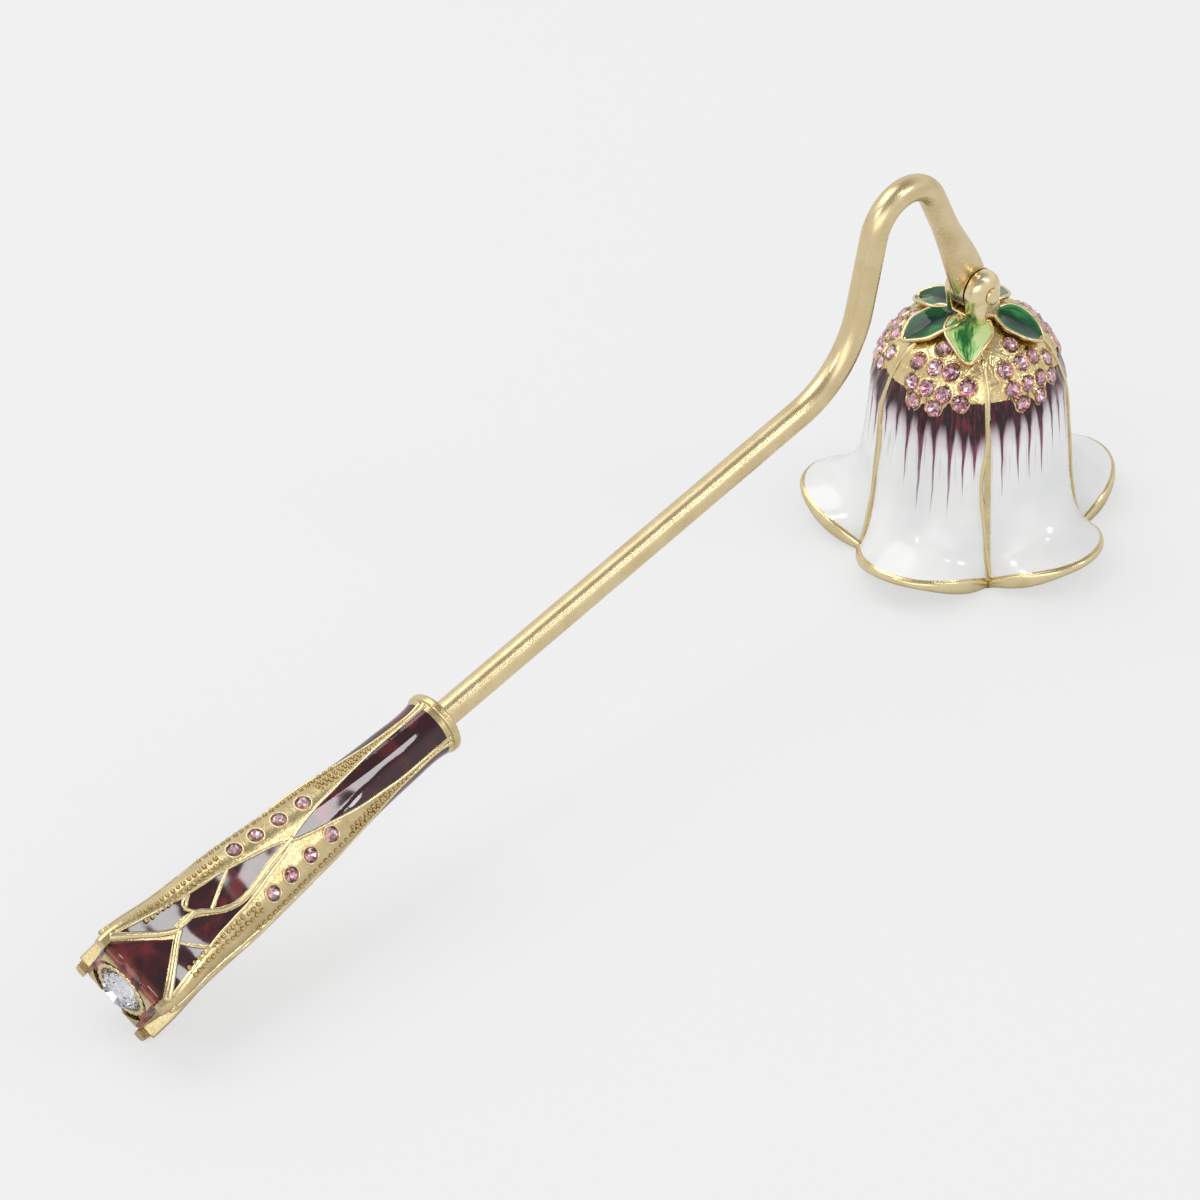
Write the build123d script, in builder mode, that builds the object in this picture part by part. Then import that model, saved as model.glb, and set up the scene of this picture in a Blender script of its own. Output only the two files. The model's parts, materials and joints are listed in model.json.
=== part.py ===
"""Candle snuffer: a flower bell hinged under a goose-neck rod with an enamelled bud handle."""

import os
from math import asin, atan2, cos, degrees, hypot, pi, radians, sin, sqrt

from build123d import *

os.makedirs("parts", exist_ok=True)

# Bell: radii and heights above the table that it stands on
petal_count = 5
first_seam_angle = -126.0
bell_height = 36.8
bell_radius = 14.4
crown_seat_radius = 4.0
bell_wall = 1.5
junction_radius = 17.35
petal_radius = 24.2
petal_lift = 3.9
rim_band = 1.2
rim_swell = 0.5
rim_depth = 1.3
rim_lip = 0.45
enamel_depth = 0.45
enamel_gap = 0.04
stone_bed_height = 27.6
white_top_height = 24.4
seam_ridge_width = 0.8
seam_ridge_proud = 0.25
inner_rib_proud = 0.1

# Hinge between the rod's blade and the two ears on top of the bell
hinge_height = 42.0
ear_radius = 3.2
ear_thickness = 2.8
ear_rounding = 1.35
far_ear_thickness = 1.2
far_ear_rounding = 0.4
ear_stem_width = 4.6
blade_thickness = 2.4
blade_radius = 3.2
blade_play = 0.15
floor_play = 0.3
pin_diameter = 1.9
pin_running_play = 0.08
pin_fixed_play = 0.01
pin_head_diameter = 2.8
pin_head_height = 0.45
shank_diameter = 3.0
nut_diameter = 6.2
nut_height = 1.5
shank_tail = 0.5
seat_gap = 0.02

# Goose-neck rod: the corners of its centre line, from the hinge outwards and from the table up
rod_diameter = 4.0
neck_peak_reach = 16.9
neck_peak_height = 78.4
neck_foot_reach = 26.4
neck_foot_height = 39.5
neck_peak_bend = 6.5
neck_foot_bend = 16.0
blade_length = 15.5
rod_tang = 17.0
rod_gap = 0.03

# Handle: lengths along its axis from the collar to the butt corners
handle_length = 62.0
handle_to_neck = 84.55
collar_radius = 4.75
collar_thickness = 1.4
butt_corner_radius = 9.3
handle_roll = -11.0
handle_waist = 4.2
handle_faces = 4
panel_depth = 0.4
scoop_start = 54.0
scoop_slope = 0.75
scoop_end_distance = 4.7
scoop_half_width = 5.2
scoop_enamel = 0.5
prong_length = 1.3
butt_seat_depth = 1.8
butt_stone_radius = 3.7
butt_stone_crown = 1.5

# Crystals
petal_stone_radius = 1.22
band_stone_radius = 1.15
band_lean = 20.0
stone_girdle = 0.55
stone_crown = 0.4
stone_table_share = 0.58
stone_sides = 8
stone_sink = 0.5
stone_play = 0.04

# Leaves round the crown
leaf_root_radius = 4.7
leaf_tip_radius = 10.4
leaf_half_width = 3.1
leaf_thickness = 0.8
leaf_rim = 0.4
leaf_enamel_thickness = 0.3

# One overrun serves every cut
overrun = 5.0

# Shares of the bell radius and height, down the dome from the crown seat to the white enamel
dome_shares = ((0.493, 0.9755), (0.715, 0.9185), (0.861, 0.840))
bed_edge_share = 0.951
band_share = (0.979, 0.707)
# Shares of the bell radius and height below that, where two petals meet and up a petal's middle
seam_shares = ((1.024, 0.5435), (1.049, 0.412), (1.076, 0.272), (1.125, 0.136))
middle_shares = ((1.024, 0.5435), (1.049, 0.424), (1.105, 0.300), (1.300, 0.196))
# Places of a petal's crystals: share of half the petal's angle, share of the bed's length
petal_stone_shares = (
    (-0.08, 0.31),
    (-0.54, 0.53),
    (-0.10, 0.52),
    (0.28, 0.53),
    (0.64, 0.66),
    (-0.48, 0.74),
    (-0.14, 0.74),
    (0.20, 0.76),
    (0.52, 0.83),
    (-0.34, 0.91),
    (0.06, 0.92),
)
# Handle sections: share of the length, face distance as a share of the waist, corner rounding
handle_shares = (
    (0.022, 1.071, 0.95),
    (0.052, 0.995, 0.95),
    (0.125, 1.012, 0.95),
    (0.210, 1.060, 0.93),
    (0.340, 1.193, 0.85),
    (0.470, 1.320, 0.75),
    (0.600, 1.440, 0.62),
    (0.730, 1.510, 0.48),
    (0.860, 1.575, 0.32),
    (1.000, 1.624, 0.12),
)
# Lancet outline on a handle face: share of the length, then its reach to both sides as shares of the waist
lancet_shares = (
    (0.035, 0.525, 0.725),
    (0.100, 0.530, 0.700),
    (0.160, 0.535, 0.715),
    (0.225, 0.505, 0.665),
    (0.300, 0.420, 0.585),
    (0.350, 0.350, 0.490),
    (0.400, 0.285, 0.340),
    (0.450, 0.180, 0.200),
    (0.490, 0.000, 0.000),
)
# Lattice outline: share of the length, half width as a share of the waist
lattice_shares = (
    (0.515, 0.04),
    (0.545, 0.22),
    (0.605, 0.40),
    (0.677, 0.62),
    (0.755, 0.76),
    (0.818, 0.91),
    (0.881, 1.08),
    (0.960, 1.32),
)
# The branch that crosses the lattice, and its three veins
branch_shares = (
    (0.460, 0.02),
    (0.535, 0.07),
    (0.587, 0.19),
    (0.640, 0.38),
    (0.688, 0.46),
    (0.730, 0.32),
    (0.760, 0.08),
    (0.790, -0.16),
    (0.850, -0.16),
)
vein_shares = (
    ((0.755, 0.10), (0.652, -0.69)),
    ((0.785, -0.15), (0.800, -0.50), (0.760, -0.90)),
    ((0.872, 0.12), (0.815, 0.95)),
)
branch_width = 0.9
vein_width = 0.4
scoop_ridge = 1.8
band_stone_shares = (0.412, 0.484, 0.552, 0.615)

petal_pitch = 360 / petal_count
petal_half = petal_pitch / 2
face_pitch = 360 / handle_faces
face_half = face_pitch / 2


def radial_plane(angle):
    """Upright plane through the bell's axis: its x runs outwards, its y runs up."""
    direction = (cos(radians(angle)), sin(radians(angle)), 0)
    normal = (sin(radians(angle)), -cos(radians(angle)), 0)
    return Plane(origin=(0, 0, 0), x_dir=direction, z_dir=normal)


def scaled(shares):
    """Points of the bell's outline from shares of its radius and height."""
    return [(bell_radius * across, bell_height * up) for across, up in shares]


def blended(first, second, share):
    """Points part of the way from one outline to another."""
    return [(a[0] + (b[0] - a[0]) * share, a[1] + (b[1] - a[1]) * share) for a, b in zip(first, second)]


def inset(points, depth):
    """Points moved square to their outline by a depth, to the inside of an outline that runs down."""
    moved = []
    for index, (across, up) in enumerate(points):
        before = points[max(index - 1, 0)]
        after = points[min(index + 1, len(points) - 1)]
        run = hypot(after[0] - before[0], after[1] - before[1])
        along = ((after[0] - before[0]) / run, (after[1] - before[1]) / run)
        moved.append((across + along[1] * depth, up - along[0] * depth))
    return moved


# Outline of the dome from the crown seat down to the top of the white enamel
bed_points = [(crown_seat_radius, bell_height)] + scaled(dome_shares)
bed_points = bed_points + [(bell_radius * bed_edge_share, stone_bed_height)]
band_points = [(bell_radius * bed_edge_share, stone_bed_height)] + scaled([band_share])
band_points = band_points + [(bell_radius, white_top_height)]


def skirt_points(share):
    """Outer outline from the white enamel's top to the rim: share 0 at a seam, 1 up a petal's middle."""
    body = blended(scaled(seam_shares), scaled(middle_shares), share)
    edge_radius = junction_radius + (petal_radius - junction_radius) * share
    edge_height = petal_lift * share + rim_band + rim_swell * sin(pi * share)
    end = (edge_radius, edge_height)
    run = hypot(end[0] - body[-1][0], end[1] - body[-1][1])
    lip = (
        end[0] - rim_lip * (end[0] - body[-1][0]) / run,
        end[1] - rim_lip * (end[1] - body[-1][1]) / run,
    )
    return [(bell_radius, white_top_height)] + body + [lip], end


seam_half_angle = degrees(seam_ridge_width / 2 / bell_radius)
skirt_half_angle = petal_half - seam_half_angle / 2
enamel_half_angle = petal_half - seam_half_angle - degrees(enamel_gap / bell_radius)
skirt_station_shares = (-1.0, -0.75, -0.5, -0.25, 0.0, 0.25, 0.5, 0.75, 1.0)


def lobe(angle):
    """How far a petal has opened at an angle from its middle: 0 at its sides, 1 at its middle."""
    return max(cos(pi / 2 * angle / skirt_half_angle), 0)


def make_skirt():
    """One petal of the bell's wall, lofted through upright sections from seam to seam."""
    with BuildPart() as skirt:
        for station in skirt_station_shares:
            angle = station * skirt_half_angle
            share = lobe(angle)
            outer, end = skirt_points(share)
            recess = inset(outer, enamel_depth + enamel_gap)
            inner = inset(outer, bell_wall)
            foot = (end[0] - rim_depth, petal_lift * share)
            with BuildSketch(radial_plane(angle)):
                with BuildLine():
                    Spline(*recess)
                    Line(recess[-1], outer[-1])
                    Line(outer[-1], end)
                    Line(end, (end[0], petal_lift * share))
                    Line((end[0], petal_lift * share), foot)
                    Spline(foot, *reversed(inner[:-1]))
                    Line(inner[0], recess[0])
                make_face()
        loft()
    return skirt.part


def make_seam_ridge():
    """The wall at a seam between two petals, with its fine raised line, from the leaf to the table."""
    outer, end = skirt_points(0)
    upper = bed_points[2:-1] + band_points
    line = inset(upper + outer[1:-1], -seam_ridge_proud)
    inner = inset(outer, bell_wall + inner_rib_proud)
    band_inner = inset(upper, bell_wall / 2)
    outside = end[0] + seam_ridge_proud / 2
    with BuildPart() as ridge:
        with BuildSketch(radial_plane(-seam_half_angle)):
            with BuildLine():
                Spline(*line, (outside, end[1]))
                Line((outside, end[1]), (outside, 0))
                Line((outside, 0), (end[0] - rim_depth - inner_rib_proud, 0))
                Spline((end[0] - rim_depth - inner_rib_proud, 0), *reversed(inner[:-1]))
                Line(inner[0], band_inner[-2])
                Spline(*reversed(band_inner[:-1]))
                Line(band_inner[0], line[0])
            make_face()
        revolve(axis=Axis.Z, revolution_arc=2 * seam_half_angle)
    return ridge.part


def make_dome():
    """The upper wall: the bed that holds the crystals, and the recess for the wine enamel under it."""
    recess = inset(band_points, enamel_depth + enamel_gap)
    inside = inset(bed_points[1:] + band_points[1:], bell_wall)
    ceiling = bell_height - bell_wall
    with BuildPart() as dome:
        with BuildSketch(Plane.XZ):
            with BuildLine():
                Line((0, bell_height), (crown_seat_radius, bell_height))
                Spline(*bed_points)
                Line(bed_points[-1], recess[0])
                Spline(*recess)
                Line(recess[-1], inside[-1])
                Spline(*reversed(inside), (crown_seat_radius, ceiling))
                Line((crown_seat_radius, ceiling), (0, ceiling))
                Line((0, ceiling), (0, bell_height))
            make_face()
        revolve(axis=Axis.Z)
    return dome.part


def bed_places():
    """Place and outward direction of each crystal of the petal whose middle is at angle 0."""
    with BuildLine(Plane.XZ) as bed_line:
        Spline(*bed_points)
    curve = bed_line.edges()[0]
    places = []
    for turn, along in petal_stone_shares:
        point = curve.position_at(along)
        tangent = curve.tangent_at(along)
        outward = Vector(-tangent.Z, 0, tangent.X)
        outward = outward if outward.X > 0 else outward * -1
        angle = turn * petal_half
        places.append((point.rotate(Axis.Z, angle), outward.rotate(Axis.Z, angle)))
    return places


def stone_planes(petal_angle):
    """Planes on the dome for the crystals of one petal, facing outwards."""
    planes = []
    for point, outward in bed_places():
        turned_point = point.rotate(Axis.Z, petal_angle)
        turned_outward = outward.rotate(Axis.Z, petal_angle)
        planes.append(Plane(origin=turned_point, z_dir=turned_outward))
    return planes


def make_stones(planes, radius):
    """Cut crystals, each with a straight girdle in its seat and a tapered crown above it."""
    with BuildPart() as stones:
        for plane in planes:
            with BuildSketch(plane.offset(seat_gap - stone_sink)):
                RegularPolygon(radius, stone_sides)
            extrude(amount=stone_girdle)
            crown_base = seat_gap - stone_sink + stone_girdle
            with BuildSketch(plane.offset(crown_base)):
                RegularPolygon(radius, stone_sides)
            with BuildSketch(plane.offset(crown_base + stone_crown)):
                RegularPolygon(radius * stone_table_share, stone_sides)
            loft()
    return stones.part


# Bell casting: dome, petals and seams as one casting, with its crystal seats and shank hole
petal_angles = [first_seam_angle + petal_half + petal_pitch * index for index in range(petal_count)]
seam_angles = [first_seam_angle + petal_pitch * index for index in range(petal_count)]
skirt_form = make_skirt()
ridge_form = make_seam_ridge()
with BuildPart() as bell_casting:
    add(make_dome())
    for petal_angle in petal_angles:
        add(skirt_form.rotate(Axis.Z, petal_angle))
    for seam_angle in seam_angles:
        add(ridge_form.rotate(Axis.Z, seam_angle))
    for petal_angle in petal_angles:
        with Locations(*[plane.offset(-stone_sink) for plane in stone_planes(petal_angle)]):
            Cylinder(
                petal_stone_radius + stone_play,
                stone_sink + overrun / 2,
                align=(Align.CENTER, Align.CENTER, Align.MIN),
                mode=Mode.SUBTRACT,
            )
    with Locations((0, 0, bell_height)):
        Cylinder(shank_diameter / 2 + pin_fixed_play, 2 * overrun, mode=Mode.SUBTRACT)
bell_casting.part.label = "bell_casting"
export_step(bell_casting.part, "parts/bell_casting.step")

# White enamel: the skin of each petal between its seams, from the rim lip to the wine enamel
with BuildPart() as white_form:
    for station in skirt_station_shares:
        angle = station * enamel_half_angle
        outer, end = skirt_points(lobe(angle))
        outer[0] = (outer[0][0], outer[0][1] - enamel_gap)
        lip_run = hypot(end[0] - outer[-1][0], end[1] - outer[-1][1])
        back = enamel_gap / lip_run
        outer[-1] = (
            outer[-1][0] - (end[0] - outer[-1][0]) * back,
            outer[-1][1] - (end[1] - outer[-1][1]) * back,
        )
        under = inset(outer, enamel_depth)
        with BuildSketch(radial_plane(angle)):
            with BuildLine():
                Spline(*outer)
                Line(outer[-1], under[-1])
                Spline(*reversed(under))
                Line(under[0], outer[0])
            make_face()
    loft()
for index, petal_angle in enumerate(petal_angles):
    white_enamel = white_form.part.rotate(Axis.Z, petal_angle)
    white_enamel.label = f"white_enamel_{index + 1}"
    export_step(white_enamel, f"parts/white_enamel_{index + 1}.step")

# Wine enamel: the band between the crystals and the white enamel
with BuildPart() as wine_form:
    band_outer = list(band_points)
    band_outer[0] = (band_outer[0][0], band_outer[0][1] - enamel_gap)
    band_under = inset(band_outer, enamel_depth)
    with BuildSketch(radial_plane(-enamel_half_angle)):
        with BuildLine():
            Spline(*band_outer)
            Line(band_outer[-1], band_under[-1])
            Spline(*reversed(band_under))
            Line(band_under[0], band_outer[0])
        make_face()
    revolve(axis=Axis.Z, revolution_arc=2 * enamel_half_angle)
for index, petal_angle in enumerate(petal_angles):
    wine_enamel = wine_form.part.rotate(Axis.Z, petal_angle)
    wine_enamel.label = f"wine_enamel_{index + 1}"
    export_step(wine_enamel, f"parts/wine_enamel_{index + 1}.step")

# Crystals of each petal
for index, petal_angle in enumerate(petal_angles):
    petal_crystals = make_stones(stone_planes(petal_angle), petal_stone_radius)
    petal_crystals.label = f"petal_crystals_{index + 1}"
    export_step(petal_crystals, f"parts/petal_crystals_{index + 1}.step")


def dome_shell(lower, upper):
    """A skin that follows the top of the dome between two heights above it."""
    under = inset(bed_points, -lower)
    over = inset(bed_points, -upper)
    with BuildPart() as shell:
        with BuildSketch(Plane.XZ):
            with BuildLine():
                Line((0, under[0][1]), under[0])
                Spline(*under)
                Line(under[-1], over[-1])
                Spline(*reversed(over))
                Line(over[0], (0, over[0][1]))
                Line((0, over[0][1]), (0, under[0][1]))
            make_face()
        revolve(axis=Axis.Z)
    return shell.part


def leaf_outline(margin):
    """Outline of a leaf that points along X: a blunt root, full sides and a sharp tip."""
    leaf_span = leaf_tip_radius - leaf_root_radius
    belly = leaf_root_radius + leaf_span * 0.4
    half_width = leaf_half_width - margin
    root = (leaf_root_radius + margin, 0)
    tip = (leaf_tip_radius - 2 * margin, 0)
    root_side = (leaf_root_radius + margin, half_width / 3)
    with BuildSketch() as outline:
        with BuildLine():
            Line(root, root_side)
            Spline(root_side, (belly, half_width), tip, tangents=((0.2, 1), (1, -0.45)))
            Line(tip, root)
        make_face()
        mirror(about=Plane.XZ)
    return outline.sketch


# Leaves: gold cups that follow the dome, each with a green enamel filling
leaf_skin = dome_shell(seat_gap, leaf_thickness)
filling_skin = dome_shell(leaf_thickness - leaf_enamel_thickness, leaf_thickness + overrun)
enamel_skin = dome_shell(leaf_thickness - leaf_enamel_thickness + seat_gap, leaf_thickness)
with BuildPart() as leaf_form:
    add(leaf_skin)
    extrude(leaf_outline(0), amount=bell_height + overrun, mode=Mode.INTERSECT)
with BuildPart() as filling_form:
    add(filling_skin)
    extrude(leaf_outline(leaf_rim), amount=bell_height + 2 * overrun, mode=Mode.INTERSECT)
with BuildPart() as leaf_enamel_form:
    add(enamel_skin)
    extrude(leaf_outline(leaf_rim + seat_gap), amount=bell_height + overrun, mode=Mode.INTERSECT)
with BuildPart() as leaf_cup:
    add(leaf_form.part)
    add(filling_form.part, mode=Mode.SUBTRACT)
for index, seam_angle in enumerate(seam_angles):
    leaf = leaf_cup.part.rotate(Axis.Z, seam_angle)
    leaf.label = f"leaf_{index + 1}"
    export_step(leaf, f"parts/leaf_{index + 1}.step")
    leaf_enamel = leaf_enamel_form.part.rotate(Axis.Z, seam_angle)
    leaf_enamel.label = f"leaf_enamel_{index + 1}"
    export_step(leaf_enamel, f"parts/leaf_enamel_{index + 1}.step")

# Clevis: two round ears on a base, with a shank through the crown of the bell
slot_half = blade_thickness / 2 + blade_play
ear_outside = slot_half + ear_thickness
far_ear_outside = slot_half + far_ear_thickness
slot_floor = hinge_height - blade_radius - floor_play
with BuildPart() as bell_clevis:
    with BuildSketch(Plane.XZ.offset(-far_ear_outside)):
        with BuildLine():
            CenterArc((0, hinge_height), ear_radius, start_angle=0, arc_size=360)
            Line((-ear_stem_width / 2, bell_height + seat_gap), (ear_stem_width / 2, bell_height + seat_gap))
        make_hull()
    extrude(amount=far_ear_outside + ear_outside)
    for side, rounding in ((0, ear_rounding), (-1, far_ear_rounding)):
        ear_face = bell_clevis.faces().sort_by(Axis.Y)[side]
        fillet(ear_face.edges().sort_by(Axis.Z)[1:], radius=rounding)
    with BuildSketch(Plane.XY.offset(slot_floor)):
        Rectangle(2 * (ear_radius + overrun), 2 * slot_half)
    extrude(amount=hinge_height, mode=Mode.SUBTRACT)
    with BuildSketch(Plane.XZ.offset(-ear_outside - overrun)):
        with Locations((0, hinge_height)):
            Circle(pin_diameter / 2 + pin_fixed_play)
    extrude(amount=2 * (ear_outside + overrun), mode=Mode.SUBTRACT)
    shank_length = bell_wall + nut_height + shank_tail + 2 * seat_gap
    with BuildSketch(Plane.XY.offset(bell_height + seat_gap - shank_length)):
        Circle(shank_diameter / 2)
    extrude(amount=shank_length)
bell_clevis.part.label = "bell_clevis"
export_step(bell_clevis.part, "parts/bell_clevis.step")

# Round nut under the crown, inside the bell
with BuildPart() as clevis_nut:
    with BuildSketch(Plane.XY.offset(bell_height - bell_wall - seat_gap)):
        Circle(nut_diameter / 2)
        Circle(shank_diameter / 2 + pin_fixed_play, mode=Mode.SUBTRACT)
    extrude(amount=-nut_height)
    nut_edges = clevis_nut.faces().sort_by(Axis.Z)[0].outer_wire().edges()
    chamfer(nut_edges, length=nut_height / 4)
clevis_nut.part.label = "clevis_nut"
export_step(clevis_nut.part, "parts/clevis_nut.step")

# Hinge pin with a low round head at each end
with BuildPart() as hinge_pin:
    with BuildSketch(Plane.XZ.offset(-far_ear_outside - seat_gap)):
        with Locations((0, hinge_height)):
            Circle(pin_diameter / 2)
    extrude(amount=far_ear_outside + ear_outside + 2 * seat_gap)
    for side, outside in ((1, ear_outside), (-1, far_ear_outside)):
        with BuildSketch(Plane.XZ.offset(side * (outside + seat_gap))):
            with Locations((0, hinge_height)):
                Circle(pin_head_diameter / 2)
        extrude(amount=side * pin_head_height)
    head_faces = hinge_pin.faces().sort_by(Axis.Y)
    head_edges = head_faces[0].edges() + head_faces[-1].edges()
    fillet(head_edges, radius=pin_head_height * 0.8)
hinge_pin.part.label = "hinge_pin"
export_step(hinge_pin.part, "parts/hinge_pin.step")

# Lie of the handle: the bell's mouth and the lowest butt corner both stand on the table
axis_length = handle_length + handle_to_neck
corner_drop = butt_corner_radius * cos(radians(handle_roll))
lever = hypot(axis_length, corner_drop)
handle_tilt = asin(neck_foot_height / lever) - atan2(corner_drop, axis_length)
toward_butt = Vector(-cos(handle_tilt), 0, -sin(handle_tilt))
upward = Vector(-sin(handle_tilt), 0, cos(handle_tilt))
sideways = Vector(0, -1, 0)
neck_foot = Vector(-neck_foot_reach, 0, neck_foot_height)
neck_peak = Vector(-neck_peak_reach, 0, neck_peak_height)
hinge_point = Vector(0, 0, hinge_height)
collar_point = neck_foot + toward_butt * handle_to_neck

# Goose-neck rod, ending in a flat blade with a round eye
leg_direction = (neck_peak - hinge_point).normalized()
across_leg = Vector(leg_direction.Z, 0, -leg_direction.X)
blade_start = hinge_point + leg_direction * blade_length
rod_end = collar_point + toward_butt * (collar_thickness + rod_tang)
with BuildPart() as neck_rod:
    with BuildLine():
        FilletPolyline(
            rod_end, neck_foot, neck_peak, blade_start, radius=(neck_foot_bend, neck_peak_bend)
        )
    with BuildSketch(Plane(origin=rod_end, x_dir=upward, z_dir=toward_butt * -1)):
        Circle(rod_diameter / 2)
    sweep()
    for place_share, width_share, thickness_share in (
        (1.0, 0.0, 0.0),
        (0.72, 0.35, 0.45),
        (0.42, 0.85, 0.9),
        (0.10, 1.0, 1.0),
    ):
        centre = hinge_point + leg_direction * (blade_length * place_share)
        half_width = rod_diameter / 2 + (blade_radius - rod_diameter / 2) * width_share
        half_depth = rod_diameter / 2 + (blade_thickness / 2 - rod_diameter / 2) * thickness_share
        with BuildSketch(Plane(origin=centre, x_dir=across_leg, z_dir=leg_direction * -1)):
            Ellipse(half_width, half_depth)
    loft()
    with BuildSketch(Plane.XZ.offset(-blade_thickness / 2)):
        with Locations((0, hinge_height)):
            Circle(blade_radius)
    extrude(amount=blade_thickness)
    with BuildSketch(Plane.XZ.offset(-overrun)):
        with Locations((0, hinge_height)):
            Circle(pin_diameter / 2 + pin_running_play)
    extrude(amount=2 * overrun, mode=Mode.SUBTRACT)
neck_rod.part.label = "neck_rod"
export_step(neck_rod.part, "parts/neck_rod.step")


def around(angle):
    """Direction square to the handle's axis, by its angle from upwards."""
    return upward * cos(radians(angle)) + sideways * sin(radians(angle))


def station_plane(along):
    """Plane square to the handle's axis, a length from the collar, with x to the first face."""
    origin = collar_point + toward_butt * along
    return Plane(origin=origin, x_dir=around(handle_roll + face_half), z_dir=toward_butt)


def handle_form(shrink):
    """The handle's whole outer form, or one smaller all round by a length."""
    with BuildPart() as form:
        for along_share, waist_share, rounding in handle_shares:
            reach = handle_waist * waist_share - shrink
            with BuildSketch(station_plane(handle_length * along_share)):
                RectangleRounded(2 * reach, 2 * reach, reach * rounding)
        loft()
    return form.part


def face_plane(face):
    """Plane through the handle's axis, square to a face: x runs to the butt, y across the face."""
    outward = around(handle_roll + face_half + face_pitch * face)
    return Plane(origin=collar_point, x_dir=toward_butt, z_dir=outward)


def face_points(shares):
    """Points on a face from shares of the handle's length and waist."""
    return [(handle_length * along, handle_waist * across) for along, across in shares]


def lancet_outline(face, margin):
    """The long pointed field next to the collar, wider on the side that the branch bends to."""
    near_side = face_points([(along, -near) for along, near, far in lancet_shares])
    far_side = face_points([(along, far) for along, near, far in lancet_shares])
    near_edge = [(along, across + margin) for along, across in near_side[1:-1]]
    far_edge = [(along, across - margin) for along, across in far_side[1:-1]]
    near_start = (near_side[0][0] + margin, near_side[0][1] + margin)
    far_start = (far_side[0][0] + margin, far_side[0][1] - margin)
    tip = (near_side[-1][0] - 3 * margin, 0)
    with BuildSketch(face_plane(face)) as outline:
        with BuildLine():
            Line(near_start, far_start)
            Spline(far_start, *far_edge, tip)
            Spline(near_start, *near_edge, tip)
        make_face()
    return outline.sketch


def lattice_outline(face, margin):
    """The spear-shaped fields on both sides of the branch, down to the ridges of the scoop."""
    points = face_points(lattice_shares)
    side = [(along, across - margin) for along, across in points[1:-1]]
    tip = (points[0][0] + 3 * margin, 0)
    ridge_end = (points[-1][0] - 4 * margin, points[-1][1] - 2 * margin)
    ridge_start = (scoop_start - scoop_ridge - 2 * margin, 0)
    with BuildSketch(face_plane(face)) as outline:
        with BuildLine():
            Spline(tip, *side, ridge_end)
            Line(ridge_end, ridge_start)
            Line(ridge_start, tip)
        make_face()
        mirror(about=Plane.XZ)
        with BuildLine():
            Spline(*face_points(branch_shares))
        trace(line_width=branch_width + 2 * margin, mode=Mode.SUBTRACT)
        for vein in vein_shares:
            with BuildLine():
                Polyline(*face_points(vein))
            trace(line_width=vein_width + 2 * margin, mode=Mode.SUBTRACT)
    return outline.sketch


def panel(outline, core, mode_form=None):
    """The space over a face's outline, down to the core, or the part of it inside the form."""
    with BuildPart() as field:
        extrude(outline, amount=butt_corner_radius)
        if mode_form is not None:
            add(mode_form, mode=Mode.INTERSECT)
        add(core, mode=Mode.SUBTRACT)
    return field.part


def scoop(face, margin, thickness=None):
    """The sloping hollow between two butt corners, or the enamel that lies in it."""
    outward = around(handle_roll + face_half + face_pitch * face)
    start_reach = handle_waist * handle_shares[-2][1]
    start = collar_point + toward_butt * scoop_start + outward * start_reach
    fall = (start_reach - scoop_end_distance) / (handle_length - scoop_start)
    floor_normal = (outward + toward_butt * fall).normalized()
    apex = scoop_start + margin / scoop_slope
    end = handle_length + (overrun if thickness is None else -prong_length - margin)
    end_half = min((end - apex) * scoop_slope, scoop_half_width - margin)
    knee = apex + end_half / scoop_slope
    with BuildPart() as hollow:
        with BuildSketch(face_plane(face)):
            Polygon(
                (apex, 0), (knee, end_half), (end, end_half), (end, -end_half), (knee, -end_half), align=None
            )
        extrude(amount=butt_corner_radius)
        split(bisect_by=Plane(origin=start + floor_normal * margin, z_dir=floor_normal), keep=Keep.TOP)
        if thickness is not None:
            lid = start + floor_normal * thickness
            split(bisect_by=Plane(origin=lid, z_dir=floor_normal), keep=Keep.BOTTOM)
    return hollow.part


def corner_section(along_share):
    """Distance from the axis to a face, and the corner's rounding, at a share of the handle's length."""
    for first, second in zip(handle_shares, handle_shares[1:]):
        if first[0] <= along_share <= second[0]:
            part = (along_share - first[0]) / (second[0] - first[0])
            reach = handle_waist * (first[1] + (second[1] - first[1]) * part)
            rounding = first[2] + (second[2] - first[2]) * part
            return reach, reach * rounding
    return butt_corner_radius, butt_corner_radius


def band_planes(corner):
    """Planes for the crystals of one corner band, which lean from the corner to the face with the branch."""
    corner_way = around(handle_roll + face_pitch * corner)
    lean = band_lean if corner % 2 == 0 else -band_lean
    outward = around(handle_roll + face_pitch * corner + lean)
    planes = []
    for along_share in band_stone_shares:
        reach, rounding = corner_section(along_share)
        middle = collar_point + toward_butt * (handle_length * along_share)
        origin = middle + corner_way * (sqrt(2) * (reach - rounding)) + outward * rounding
        planes.append(Plane(origin=origin, x_dir=toward_butt, z_dir=outward))
    return planes


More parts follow.
